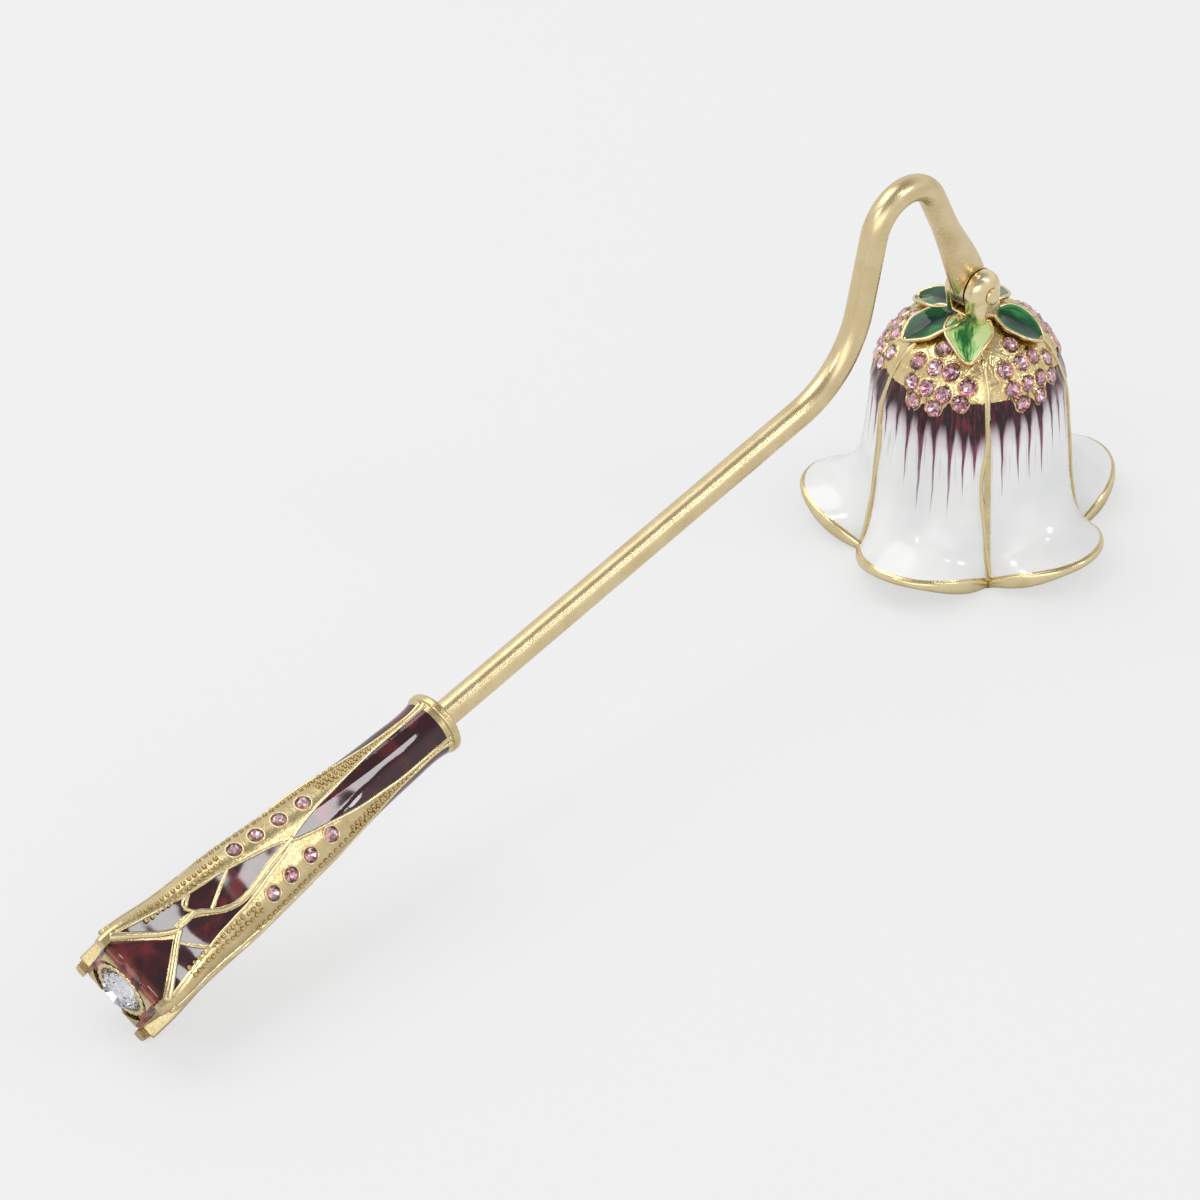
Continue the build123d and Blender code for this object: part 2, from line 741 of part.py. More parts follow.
# Handle casting: the bud-shaped form with its enamel fields, scoops, crystal seats and rod bore
full_form = handle_form(0)
field_floor = handle_form(panel_depth)
enamel_floor = handle_form(panel_depth - seat_gap)
with BuildPart() as handle_casting:
    add(full_form)
    for face in range(handle_faces):
        add(panel(lancet_outline(face, 0), field_floor), mode=Mode.SUBTRACT)
        add(panel(lattice_outline(face, 0), field_floor), mode=Mode.SUBTRACT)
        add(scoop(face, 0), mode=Mode.SUBTRACT)
        with Locations(*[plane.offset(-stone_sink) for plane in band_planes(face)]):
            Cylinder(
                band_stone_radius + stone_play,
                stone_sink + overrun / 2,
                align=(Align.CENTER, Align.CENTER, Align.MIN),
                mode=Mode.SUBTRACT,
            )
    with BuildSketch(station_plane(handle_length - prong_length)):
        Circle(scoop_end_distance + rim_lip)
    extrude(amount=overrun, mode=Mode.SUBTRACT)
    with BuildSketch(station_plane(handle_length - prong_length - butt_seat_depth)):
        Circle(butt_stone_radius + stone_play)
    extrude(amount=overrun, mode=Mode.SUBTRACT)
    with BuildSketch(station_plane(0)):
        Circle(rod_diameter / 2 + rod_gap)
    extrude(amount=collar_thickness + rod_tang + seat_gap, mode=Mode.SUBTRACT)
handle_casting.part.label = "handle_casting"
export_step(handle_casting.part, "parts/handle_casting.step")

# Collar ring round the rod, against the end of the handle
with BuildPart() as collar_ring:
    collar_start = handle_length * handle_shares[0][0] - seat_gap
    with BuildSketch(station_plane(collar_start - collar_thickness)):
        Circle(collar_radius)
    extrude(amount=collar_thickness)
    rim_edges = collar_ring.edges().filter_by(GeomType.CIRCLE)
    fillet(rim_edges, radius=collar_thickness / 3)
    with BuildSketch(station_plane(collar_start - collar_thickness - overrun)):
        Circle(rod_diameter / 2 + rod_gap)
    extrude(amount=collar_thickness + 2 * overrun, mode=Mode.SUBTRACT)
collar_ring.part.label = "collar_ring"
export_step(collar_ring.part, "parts/collar_ring.step")

# Enamel fields and crystals of each handle face
for face in range(handle_faces):
    number = face + 1
    lancet_enamel = panel(lancet_outline(face, seat_gap), enamel_floor, full_form)
    lancet_enamel.label = f"lancet_enamel_{number}"
    export_step(lancet_enamel, f"parts/lancet_enamel_{number}.step")
    lattice_enamel = panel(lattice_outline(face, seat_gap), enamel_floor, full_form)
    lattice_enamel.label = f"lattice_enamel_{number}"
    export_step(lattice_enamel, f"parts/lattice_enamel_{number}.step")
    calyx_enamel = scoop(face, seat_gap, scoop_enamel)
    calyx_enamel.label = f"calyx_enamel_{number}"
    export_step(calyx_enamel, f"parts/calyx_enamel_{number}.step")
    band_crystals = make_stones(band_planes(face), band_stone_radius)
    band_crystals.label = f"band_crystals_{number}"
    export_step(band_crystals, f"parts/band_crystals_{number}.step")

# Clear crystal in the butt
butt_stone_start = handle_length - prong_length - butt_seat_depth + seat_gap
with BuildPart() as butt_crystal:
    with BuildSketch(station_plane(butt_stone_start)):
        RegularPolygon(butt_stone_radius, 2 * stone_sides)
    extrude(amount=butt_seat_depth)
    with BuildSketch(station_plane(butt_stone_start + butt_seat_depth)):
        RegularPolygon(butt_stone_radius, 2 * stone_sides)
    with BuildSketch(station_plane(butt_stone_start + butt_seat_depth + butt_stone_crown)):
        RegularPolygon(butt_stone_radius * stone_table_share, 2 * stone_sides)
    loft()
butt_crystal.part.label = "butt_crystal"
export_step(butt_crystal.part, "parts/butt_crystal.step")

print("handle tilt in degrees:", round(degrees(handle_tilt), 2))
print("collar centre:", collar_point)
print("butt centre:", collar_point + toward_butt * handle_length)
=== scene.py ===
import json
import math
import random

import bpy
import numpy as np
from mathutils import Matrix, Vector
from mathutils.bvhtree import BVHTree


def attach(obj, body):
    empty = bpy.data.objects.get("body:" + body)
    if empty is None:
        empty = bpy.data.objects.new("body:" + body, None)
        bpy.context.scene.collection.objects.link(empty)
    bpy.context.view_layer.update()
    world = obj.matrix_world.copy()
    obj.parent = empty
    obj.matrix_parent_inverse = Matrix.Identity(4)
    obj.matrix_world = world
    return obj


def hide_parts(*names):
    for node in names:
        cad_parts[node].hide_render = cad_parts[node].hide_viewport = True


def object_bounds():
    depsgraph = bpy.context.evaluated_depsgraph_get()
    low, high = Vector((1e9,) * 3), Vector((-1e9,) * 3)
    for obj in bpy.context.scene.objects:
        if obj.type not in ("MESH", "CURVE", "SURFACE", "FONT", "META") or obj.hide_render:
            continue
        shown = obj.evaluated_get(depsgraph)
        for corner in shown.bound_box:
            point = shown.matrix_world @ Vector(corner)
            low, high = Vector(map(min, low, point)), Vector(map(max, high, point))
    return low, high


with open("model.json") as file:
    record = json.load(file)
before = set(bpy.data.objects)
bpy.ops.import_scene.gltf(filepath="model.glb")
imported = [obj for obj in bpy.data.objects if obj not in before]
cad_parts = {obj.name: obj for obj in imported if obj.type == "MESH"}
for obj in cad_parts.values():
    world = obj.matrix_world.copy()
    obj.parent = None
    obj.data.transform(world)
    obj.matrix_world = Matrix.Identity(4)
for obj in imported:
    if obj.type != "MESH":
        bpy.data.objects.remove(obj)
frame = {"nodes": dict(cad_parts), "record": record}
cadLow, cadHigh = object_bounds()
nodes = frame["nodes"]
mm = 0.001  # the scene is in metres, the dictionaries below are in millimetres
print("frame loaded:", len(nodes), "nodes")


# shader helpers

def node(tree, kind, **values):
    made = tree.nodes.new(kind)
    for key, value in values.items():
        setattr(made, key, value)
    return made


def feed(tree, value, socket):
    if isinstance(value, (int, float)):
        socket.default_value = value
    elif isinstance(value, tuple):
        socket.default_value = (*value[:3], 1) if socket.type == "RGBA" else value
    else:
        tree.links.new(value, socket)


def fill(tree, made, **values):
    # several sockets of a node at once, each with a number, a colour or a link
    for key, value in values.items():
        feed(tree, value, made.inputs[key.replace("_", " ")])
    return made


def calc(tree, operation, first, second=None, clamp=False):
    made = node(tree, "ShaderNodeMath", operation=operation, use_clamp=clamp)
    feed(tree, first, made.inputs[0])
    if second is not None:
        feed(tree, second, made.inputs[1])
    return made.outputs[0]


def plus(tree, first, second):
    return calc(tree, "ADD", first, second)


def minus(tree, first, second):
    return calc(tree, "SUBTRACT", first, second)


def times(tree, first, second):
    return calc(tree, "MULTIPLY", first, second)


def mixColour(tree, share, first, second):
    made = node(tree, "ShaderNodeMix", data_type="RGBA")
    for index, value in ((0, share), (6, first), (7, second)):  # 6 and 7 are its colours
        feed(tree, value, made.inputs[index])
    return made.outputs[2]


def noise(tree, vector, scale, detail=3.0, roughness=0.5, distortion=0.0, stretch=None):
    if stretch is not None:
        vector = fill(tree, node(tree, "ShaderNodeMapping"), Vector=vector, Scale=stretch).outputs["Vector"]
    made = node(tree, "ShaderNodeTexNoise")
    fill(tree, made, Vector=vector, Scale=scale, Detail=detail, Roughness=roughness, Distortion=distortion)
    return made.outputs["Fac"]


def remap(tree, value, low, high, toLow=0.0, toHigh=1.0, curve="LINEAR"):
    made = node(tree, "ShaderNodeMapRange", clamp=True, interpolation_type=curve)
    fill(tree, made, Value=value, From_Min=low, From_Max=high, To_Min=toLow, To_Max=toHigh)
    return made.outputs["Result"]


def bump(tree, height, strength, distance):
    made = node(tree, "ShaderNodeBump")
    return fill(tree, made, Strength=strength, Distance=distance, Height=height).outputs["Normal"]


def place(tree):
    return node(tree, "ShaderNodeTexCoord").outputs["Object"]


def mapPlace(tree, name):
    # a piece's own map, and its way across and its way up
    mark = node(tree, "ShaderNodeUVMap", uv_map=name).outputs["UV"]
    split = node(tree, "ShaderNodeSeparateXYZ")
    feed(tree, mark, split.inputs[0])
    return mark, split.outputs["X"], split.outputs["Y"]


def newMaterial(name, **plain):
    material = bpy.data.materials.new(name)
    material.use_nodes = True
    shader = material.node_tree.nodes["Principled BSDF"]
    fill(material.node_tree, shader, **plain)
    return material, material.node_tree, shader


def newGroup(name, given, made):
    # a node group with named sockets, a colour where the value is a tuple and a number elsewhere
    group = bpy.data.node_groups.new(name, "ShaderNodeTree")
    for side, sockets in (("INPUT", given), ("OUTPUT", made)):
        for socketName, value in sockets.items():
            kind = "NodeSocketColor" if isinstance(value, tuple) else "NodeSocketFloat"
            socket = group.interface.new_socket(name=socketName, in_out=side, socket_type=kind)
            socket.default_value = (*value, 1) if isinstance(value, tuple) else value
    return group, group.nodes.new("NodeGroupInput").outputs, group.nodes.new("NodeGroupOutput")


def useGroup(tree, group, **values):
    return fill(tree, node(tree, "ShaderNodeGroup", node_tree=group), **values).outputs


# camera, light and floor

def addObject(name, data):
    obj = bpy.data.objects.new(name, data)
    bpy.context.scene.collection.objects.link(obj)
    return obj


def aim(obj, spot, way):
    obj.location = spot
    obj.rotation_mode = "QUATERNION"
    obj.rotation_quaternion = way.to_track_quat("-Z", "Y")


camera = {
    "place": (-730.8, -642.4, 704.5),
    "turn": 45.51,  # degrees round the table, 0 looks along +Y
    "fall": 36.52,  # degrees below level
    "lens": 243.0,
    "sensor": 36.0,
    "nearest": 50,
    "farthest": 20000,
}


def makeCamera(c):
    turn, fall = math.radians(c["turn"]), math.radians(c["fall"])
    look = Vector((math.cos(fall) * math.sin(turn), math.cos(fall) * math.cos(turn), -math.sin(fall)))
    data = bpy.data.cameras.new("camera")
    data.lens, data.sensor_width = c["lens"], c["sensor"]
    data.clip_start, data.clip_end = c["nearest"] * mm, c["farthest"] * mm
    obj = addObject("camera", data)
    aim(obj, Vector(c["place"]) * mm, look)
    bpy.context.scene.camera = obj


makeCamera(camera)

lights = {
    "aim": (-50, 0, 15),
    "boxes": {  # turn and rise in degrees as seen from the object, distance and sides in mm, power in watts
        "windowBox": {"turn": 100, "rise": 60, "away": 1300, "sides": (900, 900), "power": 5.9},
        "frontBox": {"turn": -138, "rise": 30, "away": 1500, "sides": (1500, 700), "power": 3.9},
        "leftBox": {"turn": 171, "rise": 47, "away": 1300, "sides": (180, 240), "power": 1.5},
        "rightBox": {"turn": -55, "rise": 38, "away": 1300, "sides": (180, 240), "power": 1.5},
        "lancetBox": {"turn": -59, "rise": 58, "away": 1300, "sides": (150, 190), "power": 0.75},
    },
    "sky": ((0.0, 0.80), (0.30, 0.86), (0.55, 0.78), (0.78, 0.42), (1.0, 0.38)),  # height and its level
}


def makeLights(c):
    target = Vector(c["aim"]) * mm
    for name, box in c["boxes"].items():
        turn, rise = math.radians(box["turn"]), math.radians(box["rise"])
        way = Vector((math.cos(turn) * math.cos(rise), math.sin(turn) * math.cos(rise), math.sin(rise)))
        data = bpy.data.lights.new(name, "AREA")
        data.shape, data.energy = "RECTANGLE", box["power"]
        data.size, data.size_y = box["sides"][0] * mm, box["sides"][1] * mm
        aim(addObject(name, data), target + way * box["away"] * mm, -way)


def makeSky(levels):
    world = bpy.data.worlds.new("studio")
    bpy.context.scene.world = world
    world.use_nodes = True
    tree = world.node_tree
    split = node(tree, "ShaderNodeSeparateXYZ")
    ramp = node(tree, "ShaderNodeValToRGB")
    feed(tree, node(tree, "ShaderNodeTexCoord").outputs["Generated"], split.inputs[0])
    fill(tree, ramp, Fac=split.outputs["Z"])
    steps = ramp.color_ramp.elements
    for index, (height, level) in enumerate(levels):
        step = steps[index] if index < 2 else steps.new(height)
        step.position, step.color = height, (level, level, level, 1)
    fill(tree, tree.nodes["Background"], Color=ramp.outputs["Color"])


makeLights(lights)
makeSky(lights["sky"])
bpy.context.scene.view_settings.view_transform = "Standard"

floor = {
    "side": 6000,
    "below": 0.02,
    "tone": (0.765, 0.766, 0.768),
    "otherTone": (0.755, 0.756, 0.758),
    "drift": (40, 2),  # scale and detail of the noise between the two tones
    "roughness": 0.7,
    "specular": 0.1,
    "even": (0.885, 0.888, 0.89),
    "evenShare": 0.7,
}


def makePaleTable(c):
    # the camera sees a share of the table as even white, so that shadows stay faint; it gives no light
    material, tree, shader = newMaterial(
        "paleTable", Roughness=c["roughness"], Specular_IOR_Level=c["specular"], Emission_Color=c["even"]
    )
    tone = mixColour(tree, noise(tree, place(tree), *c["drift"]), c["tone"], c["otherTone"])
    seen = times(tree, node(tree, "ShaderNodeLightPath").outputs["Is Camera Ray"], c["evenShare"])
    fill(tree, shader, Base_Color=mixColour(tree, seen, tone, (0.0, 0.0, 0.0)), Emission_Strength=seen)
    return material


def makeFloor(c):
    half = c["side"] * mm / 2
    corners = [(-half, -half, 0), (half, -half, 0), (half, half, 0), (-half, half, 0)]
    mesh = bpy.data.meshes.new("tableTop")
    mesh.from_pydata(corners, [], [(0, 1, 2, 3)])
    mesh.materials.append(makePaleTable(c))
    obj = addObject("tableTop", mesh)
    obj.location.z = cadLow.z - c["below"] * mm


makeFloor(floor)
print("camera, light and floor made")


# materials

castLook = {
    "cloud": (220, 4, 0.6),  # scale, detail and roughness of the noise
    "cloudFrom": 0.38,
    "cloudTo": 0.66,
    "cloudShare": 0.45,
    "lumps": (1100, 2, 0.45),
    "grainDetail": 2,
    "hollowShadeFrom": 0.42,  # pointiness where the painted shade in hollows is darkest, and of the level metal that gets none
    "hollowShadeTo": 0.5,
}


def makeCastSurface(c):
    # grain, soft lumps and painted shade in hollows, shared by all the metal
    group, given, out = newGroup(
        "castSurface",
        {"Light": (0.8, 0.62, 0.3), "Deep": (0.5, 0.34, 0.12), "Grain": 3000.0, "Lumps": 0.5, "Hollow": 0.5},
        {"Color": (0.8, 0.62, 0.3), "Height": 0.0, "Wear": 0.0},
    )
    where = place(group)
    grain = noise(group, where, given["Grain"], c["grainDetail"])
    lumps = times(group, noise(group, where, *c["lumps"]), given["Lumps"])
    # painted shade: the colour goes towards the deep tone where the surface is hollow, found from its
    # pointiness
    shape = node(group, "ShaderNodeNewGeometry").outputs["Pointiness"]
    hollowShade = remap(group, shape, c["hollowShadeFrom"], c["hollowShadeTo"], 1.0, 0.0)
    cloud = remap(group, noise(group, where, *c["cloud"]), c["cloudFrom"], c["cloudTo"])
    paintedShade = times(group, hollowShade, given["Hollow"])
    share = calc(group, "MAXIMUM", times(group, cloud, c["cloudShare"]), paintedShade, clamp=True)
    colour = mixColour(group, share, given["Light"], given["Deep"])
    fill(group, out, Color=colour, Height=plus(group, grain, lumps), Wear=grain)
    return group


castSurface = makeCastSurface(castLook)

goldWear = {"from": 0.3, "to": 0.7, "smoother": 0.05, "rougher": 0.07, "bump": 0.6}
golds = {  # light and deep tone, the grain's scale, lumps, strength of the painted shade in hollows, roughness, the grain's height
    "satinGold": ((0.77, 0.63, 0.38), (0.60, 0.45, 0.22), 7000, 0.2, 0.2, 0.29, 0.000014),
    "castGold": ((0.74, 0.61, 0.34), (0.40, 0.27, 0.10), 3000, 0.8, 0.75, 0.27, 0.00004),
    "wireGold": ((0.84, 0.72, 0.45), (0.60, 0.45, 0.21), 2400, 0.8, 0.35, 0.22, 0.000014),
    "lugGold": ((0.86, 0.73, 0.46), (0.62, 0.46, 0.21), 1500, 1.0, 0.25, 0.22, 0.00004),
    "bedGold": ((0.85, 0.69, 0.38), (0.52, 0.34, 0.12), 1700, 0.9, 0.8, 0.22, 0.00005),
}


def makeGold(c, name, light, deep, grain, lumps, hollowShade, roughness, height):
    material, tree, shader = newMaterial(name, Metallic=1.0)
    surface = useGroup(tree, castSurface, Light=light, Deep=deep, Grain=grain, Lumps=lumps, Hollow=hollowShade)
    smooth, rough = roughness - c["smoother"], roughness + c["rougher"]
    fill(
        tree,
        shader,
        Base_Color=surface["Color"],
        Roughness=remap(tree, surface["Wear"], c["from"], c["to"], smooth, rough),
        Normal=bump(tree, surface["Height"], c["bump"], height),
    )
    return material


goldMaterials = [makeGold(goldWear, name, *look) for name, look in golds.items()]
satinGold, castGold, wireGold, lugGold, bedGold = goldMaterials

wineEnamel = {
    "glaze": {"Metallic": 0.0, "Roughness": 0.06, "IOR": 1.62},
    "light": (0.15, 0.012, 0.016),
    "deep": (0.026, 0.001, 0.005),
    "scale": 240,
    "low": 0.44,
    "high": 0.70,
    "detail": 3,
    "distortion": 0.6,
    "waves": (230, 0),  # scale and detail of the waves in its surface
    "waveBump": 0.5,
    "waveHeight": 0.00024,
    "way": (-0.97799, 0, -0.20863),  # from the collar to the butt
    "glow": (0.34, 0.09, 0.045),  # burnt orange beside the butt's crystal
    "glowFrom": 0.1618,  # metres along that way
    "glowTo": 0.1642,
    "patches": (600, 2),
    "patchFrom": 0.35,
    "patchTo": 0.6,
}


def makeGlazeDepth(c):
    # cloudy colour under glass: two tones that drift, and the waves of its surface
    group, given, out = newGroup(
        "glazeDepth",
        {"Light": (0.3, 0.03, 0.04), "Deep": (0.04, 0.004, 0.01), "Scale": 300.0, "Low": 0.4, "High": 0.65},
        {"Color": (0.3, 0.03, 0.04), "Height": 0.0},
    )
    where = place(group)
    cloud = noise(group, where, given["Scale"], c["detail"], distortion=c["distortion"])
    share = remap(group, cloud, given["Low"], given["High"], curve="SMOOTHSTEP")
    colour = mixColour(group, share, given["Deep"], given["Light"])
    fill(group, out, Color=colour, Height=noise(group, where, *c["waves"]))
    return group


def makeWineGlaze(c):
    # deep wine that lightens beside the butt's crystal
    material, tree, shader = newMaterial("wineGlaze", **c["glaze"])
    depth = makeGlazeDepth(c)
    surface = useGroup(
        tree, depth, Light=c["light"], Deep=c["deep"], Scale=c["scale"], Low=c["low"], High=c["high"]
    )
    along = node(tree, "ShaderNodeVectorMath", operation="DOT_PRODUCT")
    feed(tree, place(tree), along.inputs[0])
    feed(tree, c["way"], along.inputs[1])
    near = remap(tree, along.outputs["Value"], c["glowFrom"], c["glowTo"], curve="SMOOTHSTEP")
    patches = remap(tree, noise(tree, place(tree), *c["patches"]), c["patchFrom"], c["patchTo"])
    fill(
        tree,
        shader,
        Base_Color=mixColour(tree, times(tree, near, patches), surface["Color"], c["glow"]),
        Normal=bump(tree, surface["Height"], c["waveBump"], c["waveHeight"]),
    )
    return material


wineGlaze = makeWineGlaze(wineEnamel)

leafColours = {  # pale, body and deep enamel, and how much of the leaf is pale
    "frontLeaf": {
        "pale": (0.60, 0.76, 0.36),
        "body": (0.17, 0.46, 0.11),
        "deep": (0.008, 0.13, 0.03),
        "share": 0.60,
    },
    "sideLeaf": {
        "pale": (0.05, 0.27, 0.08),
        "body": (0.002, 0.075, 0.022),
        "deep": (0.0006, 0.018, 0.008),
        "share": 0.33,
    },
}
leafStreaks = {
    "glaze": {"Metallic": 0.0, "Roughness": 0.07, "IOR": 1.45},
    "middle": 0.42,  # across the leaf, where the deep pool lies
    "streak": {"scale": 2.2, "detail": 3, "roughness": 0.6, "stretch": (6, 1.4, 1)},
    "streakLevel": 0.62,
    "cloud": (3.1, 2, 0.5),
    "cloudShare": 0.5,
    "pool": 0.28,
    "poolShare": 1.4,
    "bodyEdge": 0.12,
    "paleFrom": 0.62,
    "paleTo": 0.95,
    "ripple": (500, 1),
    "rippleBump": 0.4,
    "rippleHeight": 0.00012,
}


def makeLeafGlaze(name, c, s):
    # streaks that run along the leaf, a deep pool beside the middle and pale edges
    material, tree, shader = newMaterial(name, **s["glaze"])
    mark, across, _ = mapPlace(tree, "leafPlace")
    away = calc(tree, "ABSOLUTE", minus(tree, across, s["middle"]))
    streak = noise(tree, mark, **s["streak"])
    cloud = times(tree, noise(tree, mark, *s["cloud"]), s["cloudShare"])
    pool = minus(tree, plus(tree, away, cloud), s["pool"])
    paleness = plus(tree, times(tree, pool, s["poolShare"]), minus(tree, streak, s["streakLevel"]))
    body = mixColour(tree, remap(tree, paleness, -s["bodyEdge"], s["bodyEdge"]), c["deep"], c["body"])
    pale = remap(tree, paleness, s["paleFrom"] - c["share"], s["paleTo"] - c["share"])
    fill(
        tree,
        shader,
        Base_Color=mixColour(tree, pale, body, c["pale"]),
        Normal=bump(tree, noise(tree, place(tree), *s["ripple"]), s["rippleBump"], s["rippleHeight"]),
    )
    return material


frontLeaf, sideLeaf = (makeLeafGlaze(name, look, leafStreaks) for name, look in leafColours.items())
leafMaterials = [frontLeaf, sideLeaf, sideLeaf, sideLeaf, sideLeaf]

drips = {  # share of half a petal and height: the wine edge, then the tip of each streak
    "tall": 40,  # height in mm that the petal's map spans
    "spread": 0.085,
    "profile": (  # way from a streak's middle, share of its drop
        (0.085, 0.0), (0.048, 0.10), (0.027, 0.26), (0.016, 0.55), (0.009, 0.85),
    ),
    "stout": (0.75, 1.2, 0.9, 1.35, 0.8, 1.1, 0.95, 1.25),
    "longer": 0.8,
    "edges": (
        ((-1, 24.6), (-0.5, 25.0), (0, 25.6), (0.4, 26.2), (0.7, 25.6), (1, 25.0)),
        ((-1, 25.2), (-0.4, 24.4), (0.1, 25.1), (0.6, 24.4), (1, 25.0)),
        ((-1, 24.8), (-0.3, 25.4), (0.3, 24.6), (1, 25.2)),
        ((-1, 25.2), (-0.2, 24.6), (0.5, 25.1), (1, 24.4)),
        ((-1, 24.9), (-0.6, 25.0), (0, 24.3), (0.5, 24.2), (0.83, 22.4), (1, 23.2)),
    ),
    "edgePoints": 17,
    "streaks": (
        ((-0.78, 13.4), (-0.5, 15.9), (-0.28, 15.3), (-0.02, 15.0), (0.28, 18.6), (0.52, 19.4), (0.8, 16.0)),
        ((-0.80, 15.0), (-0.52, 12.0), (-0.22, 14.5), (0.05, 11.2), (0.34, 16.0), (0.62, 13.0), (0.84, 17.5)),
        ((-0.74, 16.5), (-0.46, 11.5), (-0.20, 13.0), (0.10, 16.5), (0.38, 10.8), (0.66, 14.6)),
        ((-0.82, 14.0), (-0.55, 17.0), (-0.26, 12.4), (0.02, 14.8), (0.30, 11.6), (0.60, 16.2), (0.85, 18.0)),
        (
            (-0.86, 19.8), (-0.60, 21.4), (-0.36, 14.6), (-0.10, 10.8),
            (0.14, 10.3), (0.40, 11.2), (0.62, 14.2), (0.80, 17.6),
        ),
    ),
}
petalLook = {  # every range is a low and a high end, of the noise or of the height in the petal's map
    "glaze": {
        "Roughness": 0.2,
        "Specular_IOR_Level": 0.3,
        "Coat_Weight": 0.4,
        "Coat_Roughness": 0.03,
        "Coat_IOR": 1.5,
    },
    "sway": 0.022,
    "drift": (9, 1, 0.5),
    "core": (0.0, 0.07),
    "haze": (-0.075, 0.04),
    "hazeHigh": (0.50, 0.58),
    "hazeShare": 0.5,
    "hazeTone": (0.36, 0.17, 0.27),
    "fade": (0.26, 0.54, 0.42, 1.0),
    "stripe": {"scale": 9, "detail": 2, "roughness": 0.6, "stretch": (4.5, 1.4, 1)},
    "thread": {"scale": 9, "detail": 1, "roughness": 0.5, "stretch": (8, 0.35, 1)},
    "threadRange": (0.60, 0.70),
    "threadFade": (0.40, 0.60, 0.0, 0.55),
    "threadTone": (0.30, 0.10, 0.19),
    "wineRange": (0.50, 0.64),
    "wine": ((0.016, 0.001, 0.005), (0.14, 0.010, 0.020)),
    "plumRange": (0.35, 0.7),
    "plum": ((0.10, 0.014, 0.045), (0.26, 0.075, 0.15)),
    "deepFrom": (0.565, 0.625),
    "cloud": (110, 3),
    "cloudRange": (0.4, 0.7),
    "white": ((0.83, 0.83, 0.825), (0.76, 0.765, 0.77)),
}


def dripLine(c, index):
    # the lower edge of a petal's wine enamel with its streaks, as points of share and height
    edges = c["edges"][index]
    shares = np.linspace(-1, 1, c["edgePoints"])
    points = {round(float(share), 4): float(np.interp(share, *zip(*edges))) for share in shares}
    for number, (share, tip) in enumerate(c["streaks"][index]):
        base = float(np.interp(share, *zip(*edges)))
        tip, stout = tip - c["longer"], c["stout"][(number + 3 * index) % len(c["stout"])]
        for key in [k for k in points if abs(k - share) < c["spread"]]:
            del points[key]
        for side in (-1, 1):
            for apart, drop in c["profile"]:
                points[share + side * apart * (stout if drop else 1)] = base - (base - tip) * drop
        points[share] = tip
    return sorted(points.items())


def makePetalMaterial(c, look, index):
    material, tree, shader = newMaterial(f"petalGlaze{index + 1}", **look["glaze"])
    mark, across, height = mapPlace(tree, "petalPlace")
    drift = minus(tree, noise(tree, mark, *look["drift"]), 0.5)
    curve = node(tree, "ShaderNodeFloatCurve")
    fill(tree, curve, Value=plus(tree, across, times(tree, drift, look["sway"])))
    line, points = curve.mapping.curves[0], dripLine(c, index)
    while len(line.points) < len(points):
        line.points.new(0.5, 0.5)
    for point, (share, tip) in zip(line.points, points):
        point.location, point.handle_type = (share * 0.5 + 0.5, tip / c["tall"]), "VECTOR"
    curve.mapping.update()
    above = minus(tree, height, curve.outputs["Value"])
    core = remap(tree, above, *look["core"], curve="SMOOTHSTEP")
    core = times(tree, core, remap(tree, height, *look["fade"]))
    haze = remap(tree, above, *look["haze"], curve="SMOOTHSTEP")
    haze = times(tree, haze, remap(tree, height, *look["hazeHigh"]))
    stripe = noise(tree, mark, **look["stripe"])
    thread = remap(tree, noise(tree, mark, **look["thread"]), *look["threadRange"])
    wine = mixColour(tree, remap(tree, stripe, *look["wineRange"]), *look["wine"])
    plum = mixColour(tree, remap(tree, stripe, *look["plumRange"]), *look["plum"])
    cloud = noise(tree, place(tree), *look["cloud"])
    white = mixColour(tree, remap(tree, cloud, *look["cloudRange"]), *look["white"])
    body = mixColour(tree, remap(tree, height, *look["deepFrom"], curve="SMOOTHSTEP"), plum, wine)
    veiled = mixColour(tree, times(tree, haze, look["hazeShare"]), white, look["hazeTone"])
    stray = times(tree, thread, remap(tree, height, *look["threadFade"]))
    veiled = mixColour(tree, stray, veiled, look["threadTone"])
    fill(tree, shader, Base_Color=mixColour(tree, core, veiled, body))
    return material


petalMaterials = [makePetalMaterial(drips, petalLook, index) for index in range(5)]

crystalLooks = {  # painted reflections: the colour of the brightest and of the dullest facet, then the shader's own values
    "pinkCrystal": (
        (1.0, 0.88, 0.91), (0.92, 0.62, 0.69), {"Roughness": 0.0, "Transmission_Weight": 1.0, "IOR": 1.6},
    ),
    "pinkFoil": ((0.98, 0.80, 0.83), (0.32, 0.10, 0.15), {"Roughness": 0.08, "Metallic": 1.0}),
    "clearCrystal": (
        (1.0, 1.0, 1.0), (0.93, 0.94, 0.96), {"Roughness": 0.0, "Transmission_Weight": 1.0, "IOR": 1.6},
    ),
    "clearFoil": ((0.97, 0.97, 0.98), (0.45, 0.46, 0.50), {"Roughness": 0.05, "Metallic": 1.0}),
}


def makeCrystal(name, bright, dull, plain):
    # cut glass or its foil, each facet a little brighter or duller than the next, as painted glints and dull
    # reflections
    material, tree, shader = newMaterial(name, **plain)
    tone = node(tree, "ShaderNodeAttribute", attribute_name="facetGlint").outputs["Fac"]
    fill(tree, shader, Base_Color=mixColour(tree, tone, bright, dull))
    return material


crystalMaterials = [makeCrystal(name, *look) for name, look in crystalLooks.items()]
pinkCrystal, pinkFoil, clearCrystal, clearFoil = crystalMaterials

